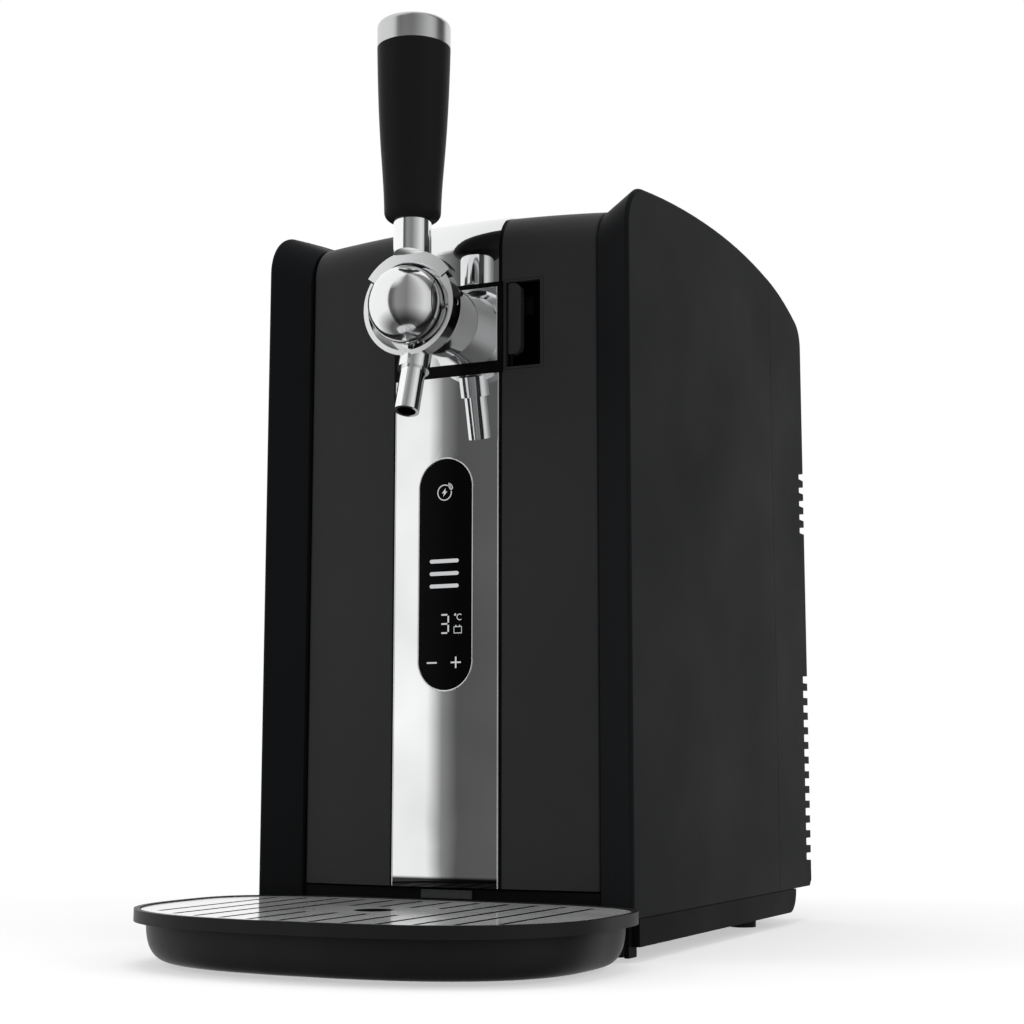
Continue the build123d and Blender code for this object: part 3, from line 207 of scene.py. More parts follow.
def brushed_lines() -> bpy.types.NodeTree:
    """Fine scratches of a brushing wheel along one axis.

    Returns:
        A group with the scratches' height, and a slow variation from 0 to 1.
    """
    def fill(nodes: Nodes, enter: bpy.types.Node, leave: bpy.types.Node) -> None:
        """Add the scratches' nodes."""
        place = nodes.place()
        stretch = nodes.add("Mapping")
        nodes.link(place, stretch.inputs["Vector"])
        nodes.link(enter.outputs["Stretch"], stretch.inputs["Scale"])
        lines = nodes.add("TexNoise", Scale=1.0, Detail=5.0, Roughness=0.7)
        nodes.link(stretch.outputs["Vector"], lines.inputs["Vector"])
        broad = nodes.add("TexNoise", Scale=14.0, Detail=2.0)
        nodes.link(place, broad.inputs["Vector"])
        nodes.link(lines.outputs["Fac"], leave.inputs["Height"])
        nodes.link(nodes.ramp(broad.outputs["Fac"], *MOTTLE_RANGE), leave.inputs["Mottle"])

    return effect("brushed_lines", {"Stretch": (Socket.VECTOR, (900.0, 12.0, 900.0))},
                  {"Height": Socket.VALUE, "Mottle": Socket.VALUE}, fill)


def foam_cells() -> bpy.types.NodeTree:
    """Closed cells of rigid foam.

    Returns:
        A group with the cells' height.
    """
    def fill(nodes: Nodes, enter: bpy.types.Node, leave: bpy.types.Node) -> None:
        """Add the cells' nodes."""
        cells = nodes.add("TexVoronoi", feature="F1")
        nodes.link(nodes.place(), cells.inputs["Vector"])
        nodes.link(enter.outputs["Density"], cells.inputs["Scale"])
        nodes.link(cells.outputs["Distance"], leave.inputs["Height"])

    return effect("foam_cells", {"Density": (Socket.VALUE, 320.0)}, {"Height": Socket.VALUE}, fill)


def shader_of(material: bpy.types.Material) -> bpy.types.Node:
    """Return a material's Principled shader."""
    return material.node_tree.nodes["Principled BSDF"]


def new_piece(name: str, mesh: bmesh.types.BMesh) -> bpy.types.Object:
    """Turn a built mesh into an object of the scene, at the origin.

    Args:
        name: the object's name.
        mesh: the mesh, which is freed.

    Returns:
        The object.
    """
    data = bpy.data.meshes.new(name)
    mesh.to_mesh(data)
    mesh.free()
    piece = bpy.data.objects.new(name, data)
    bpy.context.scene.collection.objects.link(piece)
    return piece


# ---------------------------------------------------------------- finishes


@dataclass(frozen=True)
class Finish:
    """A surface: its colour, gloss and fine relief."""

    name: str
    colour: Colour
    roughness: float
    metallic: float = 0.0
    coat: float = 0.0
    coat_roughness: float = 0.08
    relief: float = 0.0
    relief_reach: float = 0.0001
    gloss: float = 0.5

    def shader(self) -> tuple[bpy.types.Material, Nodes, bpy.types.Node]:
        """Start the material with its uniform values on the shader's own sockets.

        Returns:
            The material, its nodes and its shader.
        """
        material = bpy.data.materials.new(self.name)
        material.use_nodes = True
        nodes = Nodes(material.node_tree)
        surface = shader_of(material)
        surface.inputs["Base Color"].default_value = (*self.colour, 1.0)
        surface.inputs["Roughness"].default_value = self.roughness
        surface.inputs["Metallic"].default_value = self.metallic
        surface.inputs["Coat Weight"].default_value = self.coat
        surface.inputs["Coat Roughness"].default_value = self.coat_roughness
        surface.inputs["Specular IOR Level"].default_value = self.gloss
        return material, nodes, surface

    def vary(self, nodes: Nodes, surface: bpy.types.Node, mottle: bpy.types.NodeSocket,
             height: bpy.types.NodeSocket, spread: float) -> None:
        """Vary roughness and colour with a mask and add the relief.

        Args:
            nodes: the material's nodes.
            surface: its shader.
            mottle: the mask, from 0 to 1.
            height: the relief's height.
            spread: how far the roughness varies, as a share; the colour varies half as far.
        """
        rough = nodes.ramp(mottle, 0.0, 1.0, self.roughness * (1 - spread), self.roughness * (1 + spread))
        nodes.link(rough, surface.inputs["Roughness"])
        mix = nodes.add("Mix", data_type="RGBA")
        darker = tuple(channel * (1 - spread * 0.5) for channel in self.colour)
        lighter = tuple(min(1.0, channel * (1 + spread * 0.5)) for channel in self.colour)
        mix.inputs[6].default_value = (*darker, 1.0)
        mix.inputs[7].default_value = (*lighter, 1.0)
        nodes.link(mottle, mix.inputs[0])
        nodes.link(mix.outputs[2], surface.inputs["Base Color"])
        bump = nodes.add("Bump", Strength=self.relief, Distance=self.relief_reach)
        nodes.link(height, bump.inputs["Height"])
        nodes.link(bump.outputs["Normal"], surface.inputs["Normal"])

    def darken(self, nodes: Nodes, surface: bpy.types.Node, level: bpy.types.NodeSocket,
               dark: Colour) -> None:
        """Give the surface a dark colour where a mask is 0, and leave it as it is where it is 1.

        Args:
            nodes: the material's nodes.
            surface: its shader, whose colour is linked already.
            level: the mask.
            dark: the dark colour.
        """
        plain = surface.inputs["Base Color"].links[0].from_socket
        mix = nodes.add("Mix", data_type="RGBA")
        mix.inputs[6].default_value = (*dark, 1.0)
        nodes.link(plain, mix.inputs[7])
        nodes.link(level, mix.inputs[0])
        nodes.link(mix.outputs[2], surface.inputs["Base Color"])


@dataclass(frozen=True)
class MouldedPlastic(Finish):
    """Plastic with the fine grain of its mould."""

    density: float = 900.0
    spread: float = 0.12

    def material(self) -> bpy.types.Material:
        """Build the material.

        Returns:
            The material.
        """
        material, nodes, surface = self.shader()
        grain = nodes.add("Group", node_tree=moulded_grain())
        grain.inputs["Density"].default_value = self.density
        self.vary(nodes, surface, grain.outputs["Mottle"], grain.outputs["Height"], self.spread)
        return material


@dataclass(frozen=True)
class GapShadedPlastic(MouldedPlastic):
    """Moulded plastic with painted shade along each side of the strip that it carries, for the shaded gap
    between strip and door.
    """

    gap_shade_edge: float = 0.0373
    gap_shade_fade: float = 0.0003
    gap_shade_colour: Colour = (0.0012, 0.0012, 0.0013)

    def material(self) -> bpy.types.Material:
        """Build the material.

        Returns:
            The material.
        """
        material = super().material()
        nodes = Nodes(material.node_tree)
        across = nodes.math("ABSOLUTE", nodes.axes(nodes.place())["X"])
        # painted shade: dark where |x| is below the band's edge, behind and beside the strip
        level = nodes.ramp(across, self.gap_shade_edge, self.gap_shade_edge + self.gap_shade_fade)
        self.darken(nodes, shader_of(material), level, self.gap_shade_colour)
        return material


@dataclass(frozen=True)
class RecessShadedPlastic(MouldedPlastic):
    """Moulded plastic with painted shade that darkens it inside a hollow, deeper than its rim."""

    rim: float = 0.0
    depth: float = 0.004
    recess_shade_colour: Colour = (0.0018, 0.0018, 0.0019)

    def material(self) -> bpy.types.Material:
        """Build the material.

        Returns:
            The material.
        """
        material = super().material()
        nodes = Nodes(material.node_tree)
        # painted shade: darker with depth behind the rim
        level = nodes.ramp(nodes.axes(nodes.place())["Y"], self.rim, self.rim + self.depth, 1.0, 0.0)
        self.darken(nodes, shader_of(material), level, self.recess_shade_colour)
        return material


@dataclass(frozen=True)
class BrushedMetal(Finish):
    """Metal brushed along one axis."""

    stretch: Point = (900.0, 12.0, 900.0)
    spread: float = 0.2

    def material(self) -> bpy.types.Material:
        """Build the material.

        Returns:
            The material.
        """
        material, nodes, surface = self.shader()
        lines = nodes.add("Group", node_tree=brushed_lines())
        lines.inputs["Stretch"].default_value = self.stretch
        self.vary(nodes, surface, lines.outputs["Mottle"], lines.outputs["Height"], self.spread)
        return material


@dataclass(frozen=True)
class MirrorStrip(BrushedMetal):
    """Mirror-bright metal with a painted dark reflection on its lower end, over the ledge below it."""

    reflection_dark_below: float = 0.0437
    fade: float = 0.0008
    shade: Colour = (0.03, 0.03, 0.031)

    def material(self) -> bpy.types.Material:
        """Build the material.

        Returns:
            The material.
        """
        material = super().material()
        nodes = Nodes(material.node_tree)
        height = nodes.axes(nodes.place())["Z"]
        # painted reflection: the strip turns dark below this height
        level = nodes.ramp(height, self.reflection_dark_below - self.fade, self.reflection_dark_below + self.fade)
        self.darken(nodes, shader_of(material), level, self.shade)
        return material


@dataclass(frozen=True)
class SlotShadedPlate(BrushedMetal):
    """Brushed plate with painted shade on its punched edges: they are dark and not metallic, for the shade
    in its slots.
    """

    edge: Colour = (0.012, 0.012, 0.013)
    flatness: tuple[float, float] = (0.5, 0.7)

    def material(self) -> bpy.types.Material:
        """Build the material.

        Returns:
            The material.
        """
        material = super().material()
        nodes = Nodes(material.node_tree)
        surface = shader_of(material)
        upright = nodes.axes(nodes.add("NewGeometry").outputs["True Normal"])["Z"]
        # painted shade on the slot walls, which face sideways
        level = nodes.ramp(nodes.math("ABSOLUTE", upright), *self.flatness)
        self.darken(nodes, surface, level, self.edge)
        nodes.link(nodes.math("MULTIPLY", level, self.metallic), surface.inputs["Metallic"])
        return material


@dataclass(frozen=True)
class RigidFoam(Finish):
    """Pale foam with visible cells."""

    density: float = 320.0
    spread: float = 0.1
    relief_reach: float = 0.0006

    def material(self) -> bpy.types.Material:
        """Build the material.

        Returns:
            The material.
        """
        material, nodes, surface = self.shader()
        grain = nodes.add("Group", node_tree=moulded_grain())
        cells = nodes.add("Group", node_tree=foam_cells())
        cells.inputs["Density"].default_value = self.density
        self.vary(nodes, surface, grain.outputs["Mottle"], cells.outputs["Height"], self.spread)
        return material


@dataclass(frozen=True)
class CircuitBoard(Finish):
    """Green solder mask with paler tracks."""

    track: Colour = (0.03, 0.3, 0.14)
    pitch: float = 90.0
    track_width: float = 0.06

    def material(self) -> bpy.types.Material:
        """Build the material.

        Returns:
            The material.
        """
        material, nodes, surface = self.shader()
        bricks = nodes.add("TexBrick", Scale=self.pitch, Mortar_Size=self.track_width)
        bricks.inputs["Color1"].default_value = (*self.colour, 1.0)
        bricks.inputs["Color2"].default_value = (*self.colour, 1.0)
        bricks.inputs["Mortar"].default_value = (*self.track, 1.0)
        nodes.link(nodes.place(), bricks.inputs["Vector"])
        nodes.link(bricks.outputs["Color"], surface.inputs["Base Color"])
        return material


@dataclass(frozen=True)
class LitMark(Finish):
    """A mark lit from behind the window."""

    glow: float = 0.6
    unlit: float = 0.1

    def material(self) -> bpy.types.Material:
        """Build the material.

        Returns:
            The material.
        """
        material, _, surface = self.shader()
        base = tuple(channel * self.unlit for channel in self.colour)
        surface.inputs["Base Color"].default_value = (*base, 1.0)
        surface.inputs["Emission Color"].default_value = (*self.colour, 1.0)
        surface.inputs["Emission Strength"].default_value = self.glow
        return material


SHELL = MouldedPlastic("black_shell", (0.0086, 0.0090, 0.0098), 0.46, relief=0.22, gloss=0.02)
PANEL = MouldedPlastic("black_panel", (0.0265, 0.0268, 0.0278), 0.42, relief=0.16, gloss=0.08)
DOOR_FACE = GapShadedPlastic("black_door_face", PANEL.colour, PANEL.roughness, relief=PANEL.relief,
                          gloss=PANEL.gloss)
RECESS = RecessShadedPlastic("black_recess", PANEL.colour, PANEL.roughness, relief=PANEL.relief, gloss=0.02,
                       rim=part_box("grip_recess")[0][1] + 2 * MM)
FOOTING = MouldedPlastic("base_black", (0.0056, 0.0058, 0.0063), 0.5, relief=0.22, gloss=0.02)
BOWL = MouldedPlastic("tray_black", (0.0130, 0.0132, 0.0139), 0.4, relief=0.18, gloss=0.08)
GRIP = MouldedPlastic("soft_black_grip", (0.0115, 0.0115, 0.0120), 0.34, relief=0.12, density=1400.0,
                      gloss=0.02)
TRIM = MouldedPlastic("gloss_black_trim", (0.0022, 0.0022, 0.0025), 0.25, relief=0.04, gloss=0.06)
WINDOW = MouldedPlastic("display_glass", (0.0022, 0.0022, 0.0025), 0.1, spread=0.05, gloss=0.04)
TAB = MouldedPlastic("grey_tab", (0.030, 0.031, 0.033), 0.4, relief=0.2, gloss=0.3)
CHROME = BrushedMetal("polished_chrome", (0.88, 0.885, 0.89), 0.06, metallic=1.0, relief=0.012, spread=0.25)
SATIN = BrushedMetal("satin_chrome", (0.86, 0.863, 0.87), 0.13, metallic=1.0, relief=0.012, spread=0.2)
TURNED = BrushedMetal("turned_chrome", (0.58, 0.583, 0.59), 0.28, metallic=1.0, relief=0.03,
                      stretch=(12.0, 12.0, 1500.0))
STRIP = MirrorStrip("mirror_strip", (0.84, 0.845, 0.85), 0.02, metallic=1.0, relief=0.004, spread=0.2)
PLATE = SlotShadedPlate("satin_steel_plate", (0.78, 0.785, 0.79), 0.14, metallic=0.5, relief=0.03)
STEEL = BrushedMetal("plain_steel", (0.56, 0.565, 0.575), 0.3, metallic=1.0, relief=0.12,
                     stretch=(500.0, 500.0, 20.0))
ALUMINIUM = BrushedMetal("milled_aluminium", (0.72, 0.73, 0.74), 0.32, metallic=1.0, relief=0.12,
                         stretch=(20.0, 500.0, 500.0))
LINER = MouldedPlastic("liner_plastic", (0.60, 0.61, 0.62), 0.3, relief=0.1)
FOAM = RigidFoam("pale_foam", (0.78, 0.74, 0.62), 0.8, relief=0.5)
RUBBER = MouldedPlastic("black_rubber", (0.010, 0.010, 0.010), 0.7, relief=0.3, gloss=0.2)
GREY = MouldedPlastic("grey_plastic", (0.11, 0.11, 0.115), 0.45, relief=0.2)
INK = MouldedPlastic("moulded_black_fan", (0.014, 0.014, 0.015), 0.4, relief=0.2, gloss=0.3)
CERAMIC = MouldedPlastic("ceramic_plate", (0.82, 0.82, 0.80), 0.5, relief=0.1)
MAGNET = MouldedPlastic("ground_magnet", (0.09, 0.09, 0.095), 0.45, metallic=0.6, relief=0.3)
BOARD = CircuitBoard("green_board", (0.012, 0.15, 0.06), 0.35, coat=0.4)
MARK = LitMark("lit_mark", (0.97, 0.98, 1.0), 0.5, glow=0.48)


@dataclass
class Palette:
    """Builds each finish once and gives it to CAD nodes and pieces."""

    made: dict[str, bpy.types.Material] = field(default_factory=dict)

    def get(self, finish: Finish) -> bpy.types.Material:
        """Return the finish's material, built on first use.

        Args:
            finish: the finish.

        Returns:
            The material.
        """
        if finish.name not in self.made:
            self.made[finish.name] = finish.material()
        return self.made[finish.name]

    def dress(self, piece: bpy.types.Object, finish: Finish) -> None:
        """Put one finish on every slot of a piece.

        Args:
            piece: the object.
            finish: the finish.
        """
        material = self.get(finish)
        if not piece.material_slots:
            piece.data.materials.append(material)
        for slot in piece.material_slots:
            slot.link = "OBJECT"
            slot.material = material

    def dress_nodes(self, finishes: dict[str, Finish]) -> None:
        """Dress CAD nodes by name.

        Args:
            finishes: node name to finish.
        """
        for name, finish in finishes.items():
            self.dress(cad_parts[name], finish)


# ---------------------------------------------------------------- sub-assemblies


@dataclass
class Cabinet:
    """The fixed housing and what it holds."""

    palette: Palette
    finishes: dict[str, Finish] = field(default_factory=lambda: {
        "base": FOOTING, "feet": RUBBER, "tray_catch": TAB, "side_panel_left": SHELL,
        "side_panel_right": SHELL, "top_cover": SHELL, "rear_cover": SHELL, "rear_screws": STEEL,
        "mains_inlet": INK, "chamber_liner": LINER, "insulation_left": FOAM, "insulation_right": FOAM,
        "cold_plate": ALUMINIUM, "cold_block": ALUMINIUM, "keg_stand": GREY, "peltier_module": CERAMIC,
        "heat_sink": ALUMINIUM, "fan_frame": INK, "fan_rotor": INK, "power_supply": STEEL,
        "control_board": BOARD, "air_pump": STEEL, "air_fitting": GREY, "air_hose": RUBBER,
        "hinge_arm": STEEL, "hinge_pins": TRIM, "catch_strike": STEEL})

    def build(self) -> None:
        """Dress the housing and its insides."""
        self.palette.dress_nodes(self.finishes)


@dataclass
class Door:
    """The door with its strip, grip and latch."""

    palette: Palette
    bead_radius: float = 0.55
    bead_inset: float = 0.8
    bead_sink: float = 0.7
    bead_end_gap: float = 0.2
    bead_turns: tuple[int, ...] = (-110, -85, -60, -35, -10, 15, 40)
    bezel_rounding: float = 0.42
    beads: tuple[tuple[str, int], ...] = (("lower_strip", 1), ("lower_strip", -1), ("tap_plate", 1))
    finishes: dict[str, Finish] = field(default_factory=lambda: {
        "door_front": DOOR_FACE, "hinge_bushes": GREY, "door_liner": LINER, "door_insulation": FOAM,
        "door_gasket": RUBBER, "lower_strip": STRIP, "upper_strip": STRIP, "display_bezel": CHROME,
        "display_window": WINDOW, "display_board": BOARD, "latch_frame": TRIM, "tap_plate": STRIP,
        "grip_recess": RECESS, "paddle_pin": TRIM, "paddle_spring": STEEL, "grip_paddle": PANEL,
        "latch_slider": INK, "catch_magnet": MAGNET})

    def round_edges(self, name: str, width: float) -> None:
        """Round the sharp edges of a thin metal piece so that they catch the light.

        Args:
            name: the node.
            width: the rounding's width in millimetres.
        """
        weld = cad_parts[name].modifiers.new("joined_edge", "WELD")
        weld.merge_threshold = 0.01 * MM
        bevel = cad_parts[name].modifiers.new("rounded_edge", "BEVEL")
        bevel.width = width * MM
        bevel.segments = 4
        bevel.limit_method = "ANGLE"
        bevel.angle_limit = math.radians(50)

    def edge_bead(self, name: str, side: int) -> None:
        """Add the rolled edge of a thin metal piece, which catches the light as a fine line.

        Args:
            name: the node that it edges.
            side: 1 for its right edge, -1 for its left edge.
        """
        low, high = (Vector(corner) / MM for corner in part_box(name))
        radius = self.bead_radius
        x = side * max(abs(low.x), abs(high.x)) - side * radius * self.bead_inset
        y = low.y + x * x / (2 * BOW_RADIUS) + radius * self.bead_sink
        turns = [math.radians(turn) for turn in self.bead_turns]
        mesh = bmesh.new()
        rings = []
        for z in (low.z + self.bead_end_gap, (low.z + high.z) / 2, high.z - self.bead_end_gap):
            rings.append([mesh.verts.new(((x + side * radius * math.cos(turn)) * MM,
                                          (y + radius * math.sin(turn)) * MM, z * MM)) for turn in turns])
        for lower, upper in zip(rings, rings[1:]):
            for index in range(len(lower) - 1):
                face = mesh.faces.new((lower[index], lower[index + 1], upper[index + 1], upper[index]))
                face.smooth = True
        bmesh.ops.recalc_face_normals(mesh, faces=mesh.faces)
        piece = new_piece(f"{name}_edge_{'right' if side > 0 else 'left'}", mesh)
        self.palette.dress(piece, CHROME)
        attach(piece, "door")
        LOG.info("%s: %d faces", piece.name, len(piece.data.polygons))

    def build(self) -> None:
        """Dress the door's pieces."""
        self.palette.dress_nodes(self.finishes)
        self.round_edges("display_bezel", self.bezel_rounding)
        for name, side in self.beads:
            self.edge_bead(name, side)


@dataclass
class Tap:
    """The tap and its lever."""

    palette: Palette
    finishes: dict[str, Finish] = field(default_factory=lambda: {
        "tap_body": SATIN, "tap_ball": SATIN, "ball_side_cap": SATIN, "spout_tube": CHROME,
        "tube_nut": STEEL, "pivot_pins": CHROME, "lever_yoke": SATIN, "lever_stem": CHROME,
        "handle_grip": GRIP, "handle_cap": TURNED, "valve_plunger": GREY})

    def build(self) -> None:
        """Dress the tap's pieces."""
        self.palette.dress_nodes(self.finishes)


@dataclass
class DripTray:
    """The tray, its feet and its grid."""

    palette: Palette
    finishes: dict[str, Finish] = field(default_factory=lambda: {
        "drip_tray": BOWL, "tray_feet": RUBBER, "drip_grid": PLATE})

    def build(self) -> None:
        """Dress the tray's pieces."""
        self.palette.dress_nodes(self.finishes)


class Segment(Enum):
    """Bars of the temperature digit: lower end and upper end, as shares of its width and height."""

    TOP = ((0.0, 1.0), (1.0, 1.0))
    MIDDLE = ((0.0, 0.5), (1.0, 0.5))
    BOTTOM = ((0.0, 0.0), (1.0, 0.0))
    UPPER_RIGHT = ((1.0, 0.5), (1.0, 1.0))
    LOWER_RIGHT = ((1.0, 0.0), (1.0, 0.5))


@dataclass
class Display:
    """Marks that light up behind the display's window. Sizes are in millimetres."""

    palette: Palette
    thickness: float = 0.12
    middle: float = -0.8
    stroke: float = 0.95
    thin_stroke: float = 0.5
    bar_half: float = 9.9
    bar_height: float = 2.35
    bar_levels: tuple[float, ...] = (232.4, 224.8, 217.2)
    digit_low: float = 188.7
    digit_size: tuple[float, float] = (5.3, 11.0)
    digit_x: float = -3.1
    round_steps: int = 8
    power_place: tuple[float, float] = (274.4, 4.65)
    degree_dot: Point = (6.9, 199.6, 0.5)
    degree_letter: Point = (9.9, 198.1, 1.75)

    def front(self, x: float) -> float:
        """Depth of the window's face at one x, in millimetres of the object's frame."""
        low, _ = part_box("display_window")
        return low[1] / MM + x * x / (2 * BOW_RADIUS)

    def ribbon(self, mesh: bmesh.types.BMesh, points: list[tuple[float, float]], width: float,
               closed: bool = False) -> None:
        """Add a flat stroke along a line of points on the window.

        Args:
            mesh: the mesh that grows.
            points: x and z of the line, in millimetres.
            width: the stroke's width.
            closed: joins the last point to the first.
        """
        count = len(points)
        rows = []
        for index, (x, z) in enumerate(points):
            before = points[(index - 1) % count] if closed or index else (x, z)
            after = points[(index + 1) % count] if closed or index < count - 1 else (x, z)
            run = Vector((after[0] - before[0], after[1] - before[1])).normalized()
            side = Vector((-run.y, run.x)) * width / 2
            corners = ((x + side.x, z + side.y), (x - side.x, z - side.y))
            rows.append([self.vertex(mesh, px, pz, lift) for px, pz in corners
                         for lift in (0.0, self.thickness)])
        pairs = list(zip(rows, rows[1:] + rows[:1])) if closed else list(zip(rows, rows[1:]))
        for (a, b, c, d), (e, f, g, h) in pairs:
            for corners in ((b, d, h, f), (a, e, g, c), (a, b, f, e), (c, g, h, d)):
                mesh.faces.new(corners)
        if not closed:
            for a, b, c, d in (rows[0], rows[-1]):
                mesh.faces.new((a, c, d, b))

    def vertex(self, mesh: bmesh.types.BMesh, x: float, z: float, lift: float) -> bmesh.types.BMVert:
        """Add one point of a mark, lifted off the window by so many millimetres."""
        return mesh.verts.new((x * MM, (self.front(x) - lift) * MM, z * MM))

    def capsule(self, mesh: bmesh.types.BMesh, x: float, z: float, half: float, height: float) -> None:
        """Add a level bar with round ends.

        Args:
            mesh: the mesh that grows.
            x: middle.
            z: middle.
            half: half its length.
            height: its height.
        """
        radius = height / 2
        outline = []
        for side in (1, -1):
            for step in range(self.round_steps + 1):
                turn = math.radians(-90 + 180 * step / self.round_steps)
                outline.append((x + side * (half - radius + radius * math.cos(turn)),
                                z + side * radius * math.sin(turn)))
        self.plate(mesh, outline)

    def plate(self, mesh: bmesh.types.BMesh, outline: list[tuple[float, float]]) -> None:
        """Add a filled flat shape on the window.

        Args:
            mesh: the mesh that grows.
            outline: its corners in order, in millimetres.
        """
        near = [self.vertex(mesh, x, z, self.thickness) for x, z in outline]
        back = [self.vertex(mesh, x, z, 0.0) for x, z in outline]
        mesh.faces.new(near)
        mesh.faces.new(back[::-1])
        for index in range(len(outline)):
            after = (index + 1) % len(outline)
            mesh.faces.new((near[after], near[index], back[index], back[after]))

    def arc(self, x: float, z: float, radius: float, start: float, end: float,
            steps: int) -> list[tuple[float, float]]:
        """Points along an arc.

        Args:
            x: centre.
            z: centre.
            radius: radius.
            start: first angle in degrees.
            end: last angle in degrees.
            steps: number of runs.

        Returns:
            The points in order.
        """
        turns = [math.radians(start + (end - start) * step / steps) for step in range(steps + 1)]
        return [(x + radius * math.cos(turn), z + radius * math.sin(turn)) for turn in turns]

    def power_mark(self, mesh: bmesh.types.BMesh) -> None:
        """A ring with a bolt in it and a leaf on its shoulder."""
        x, (z, radius) = self.middle, self.power_place
        self.ribbon(mesh, self.arc(x, z, radius, 62, 370, 40), self.thin_stroke * 1.2)
        bolt = [(0.7, 2.6), (-1.8, -0.4), (-0.3, -0.4), (-0.9, -2.5), (1.8, 0.6), (0.5, 0.6)]
        self.plate(mesh, [(x + px, z + pz) for px, pz in bolt])
        leaf = [(2.9, 5.7), (4.2, 4.9), (5.2, 3.7), (5.5, 2.4), (4.6, 1.5), (3.6, 2.3), (2.9, 3.8)]
        self.ribbon(mesh, [(x + px, z + pz) for px, pz in leaf], self.thin_stroke, closed=True)
        self.ribbon(mesh, [(x + 3.4, z + 4.8), (x + 4.7, z + 2.2)], self.thin_stroke * 0.8)

    def level_mark(self, mesh: bmesh.types.BMesh) -> None:
        """Three bars that show how full the keg is."""
        for z in self.bar_levels:
            self.capsule(mesh, self.middle, z, self.bar_half, self.bar_height)

    def digit_mark(self, mesh: bmesh.types.BMesh) -> None:
        """The temperature's digit, made of separate segments."""
        width, height = self.digit_size
        for segment in Segment:
            (x0, z0), (x1, z1) = segment.value
            start = Vector((self.digit_x + x0 * width, self.digit_low + z0 * height))
            end = Vector((self.digit_x + x1 * width, self.digit_low + z1 * height))
            inward = (end - start).normalized() * self.stroke * 0.7
            self.ribbon(mesh, [tuple(start + inward), tuple(end - inward)], self.stroke)

    def degree_mark(self, mesh: bmesh.types.BMesh) -> None:
        """Degrees Celsius."""
        self.ribbon(mesh, self.arc(*self.degree_dot, 0, 360, 12)[:-1], self.thin_stroke * 0.9, closed=True)
        self.ribbon(mesh, self.arc(*self.degree_letter, 50, 310, 16), self.thin_stroke)

    def calendar_mark(self, mesh: bmesh.types.BMesh) -> None:
        """A small open square with two rings on top."""
        left, right, low, high = 6.1, 11.2, 188.5, 192.3
        square = [(left, low), (right, low), (right, high), (left, high)]
        self.ribbon(mesh, square, 0.55, closed=True)
        for x in (left + 1.3, right - 1.3):
            self.ribbon(mesh, [(x, high - 0.2), (x, high + 1.0)], 0.7)

    def key_marks(self, mesh: bmesh.types.BMesh) -> None:
        """Minus and plus."""
        level, half, plus = 170.9, 3.4, 7.4
        for x in (-8.9, plus):
            self.ribbon(mesh, [(x - half, level), (x + half, level)], self.stroke)
        wide = self.stroke / 2
        self.plate(mesh, [(plus - wide, level - half), (plus + wide, level - half),
                          (plus + wide, level + half), (plus - wide, level + half)])

    def build(self) -> None:
        """Build every mark as its own piece on the door."""
        marks = {"mark_power": self.power_mark, "mark_level": self.level_mark,
                 "mark_digit": self.digit_mark, "mark_degree": self.degree_mark,
                 "mark_calendar": self.calendar_mark, "mark_keys": self.key_marks}
        for name, draw in marks.items():
            mesh = bmesh.new()
            draw(mesh)
            bmesh.ops.recalc_face_normals(mesh, faces=mesh.faces)
            piece = new_piece(name, mesh)
            self.palette.dress(piece, MARK)
            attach(piece, "door")
            LOG.info("%s: %d faces", name, len(piece.data.polygons))


# ---------------------------------------------------------------- studio


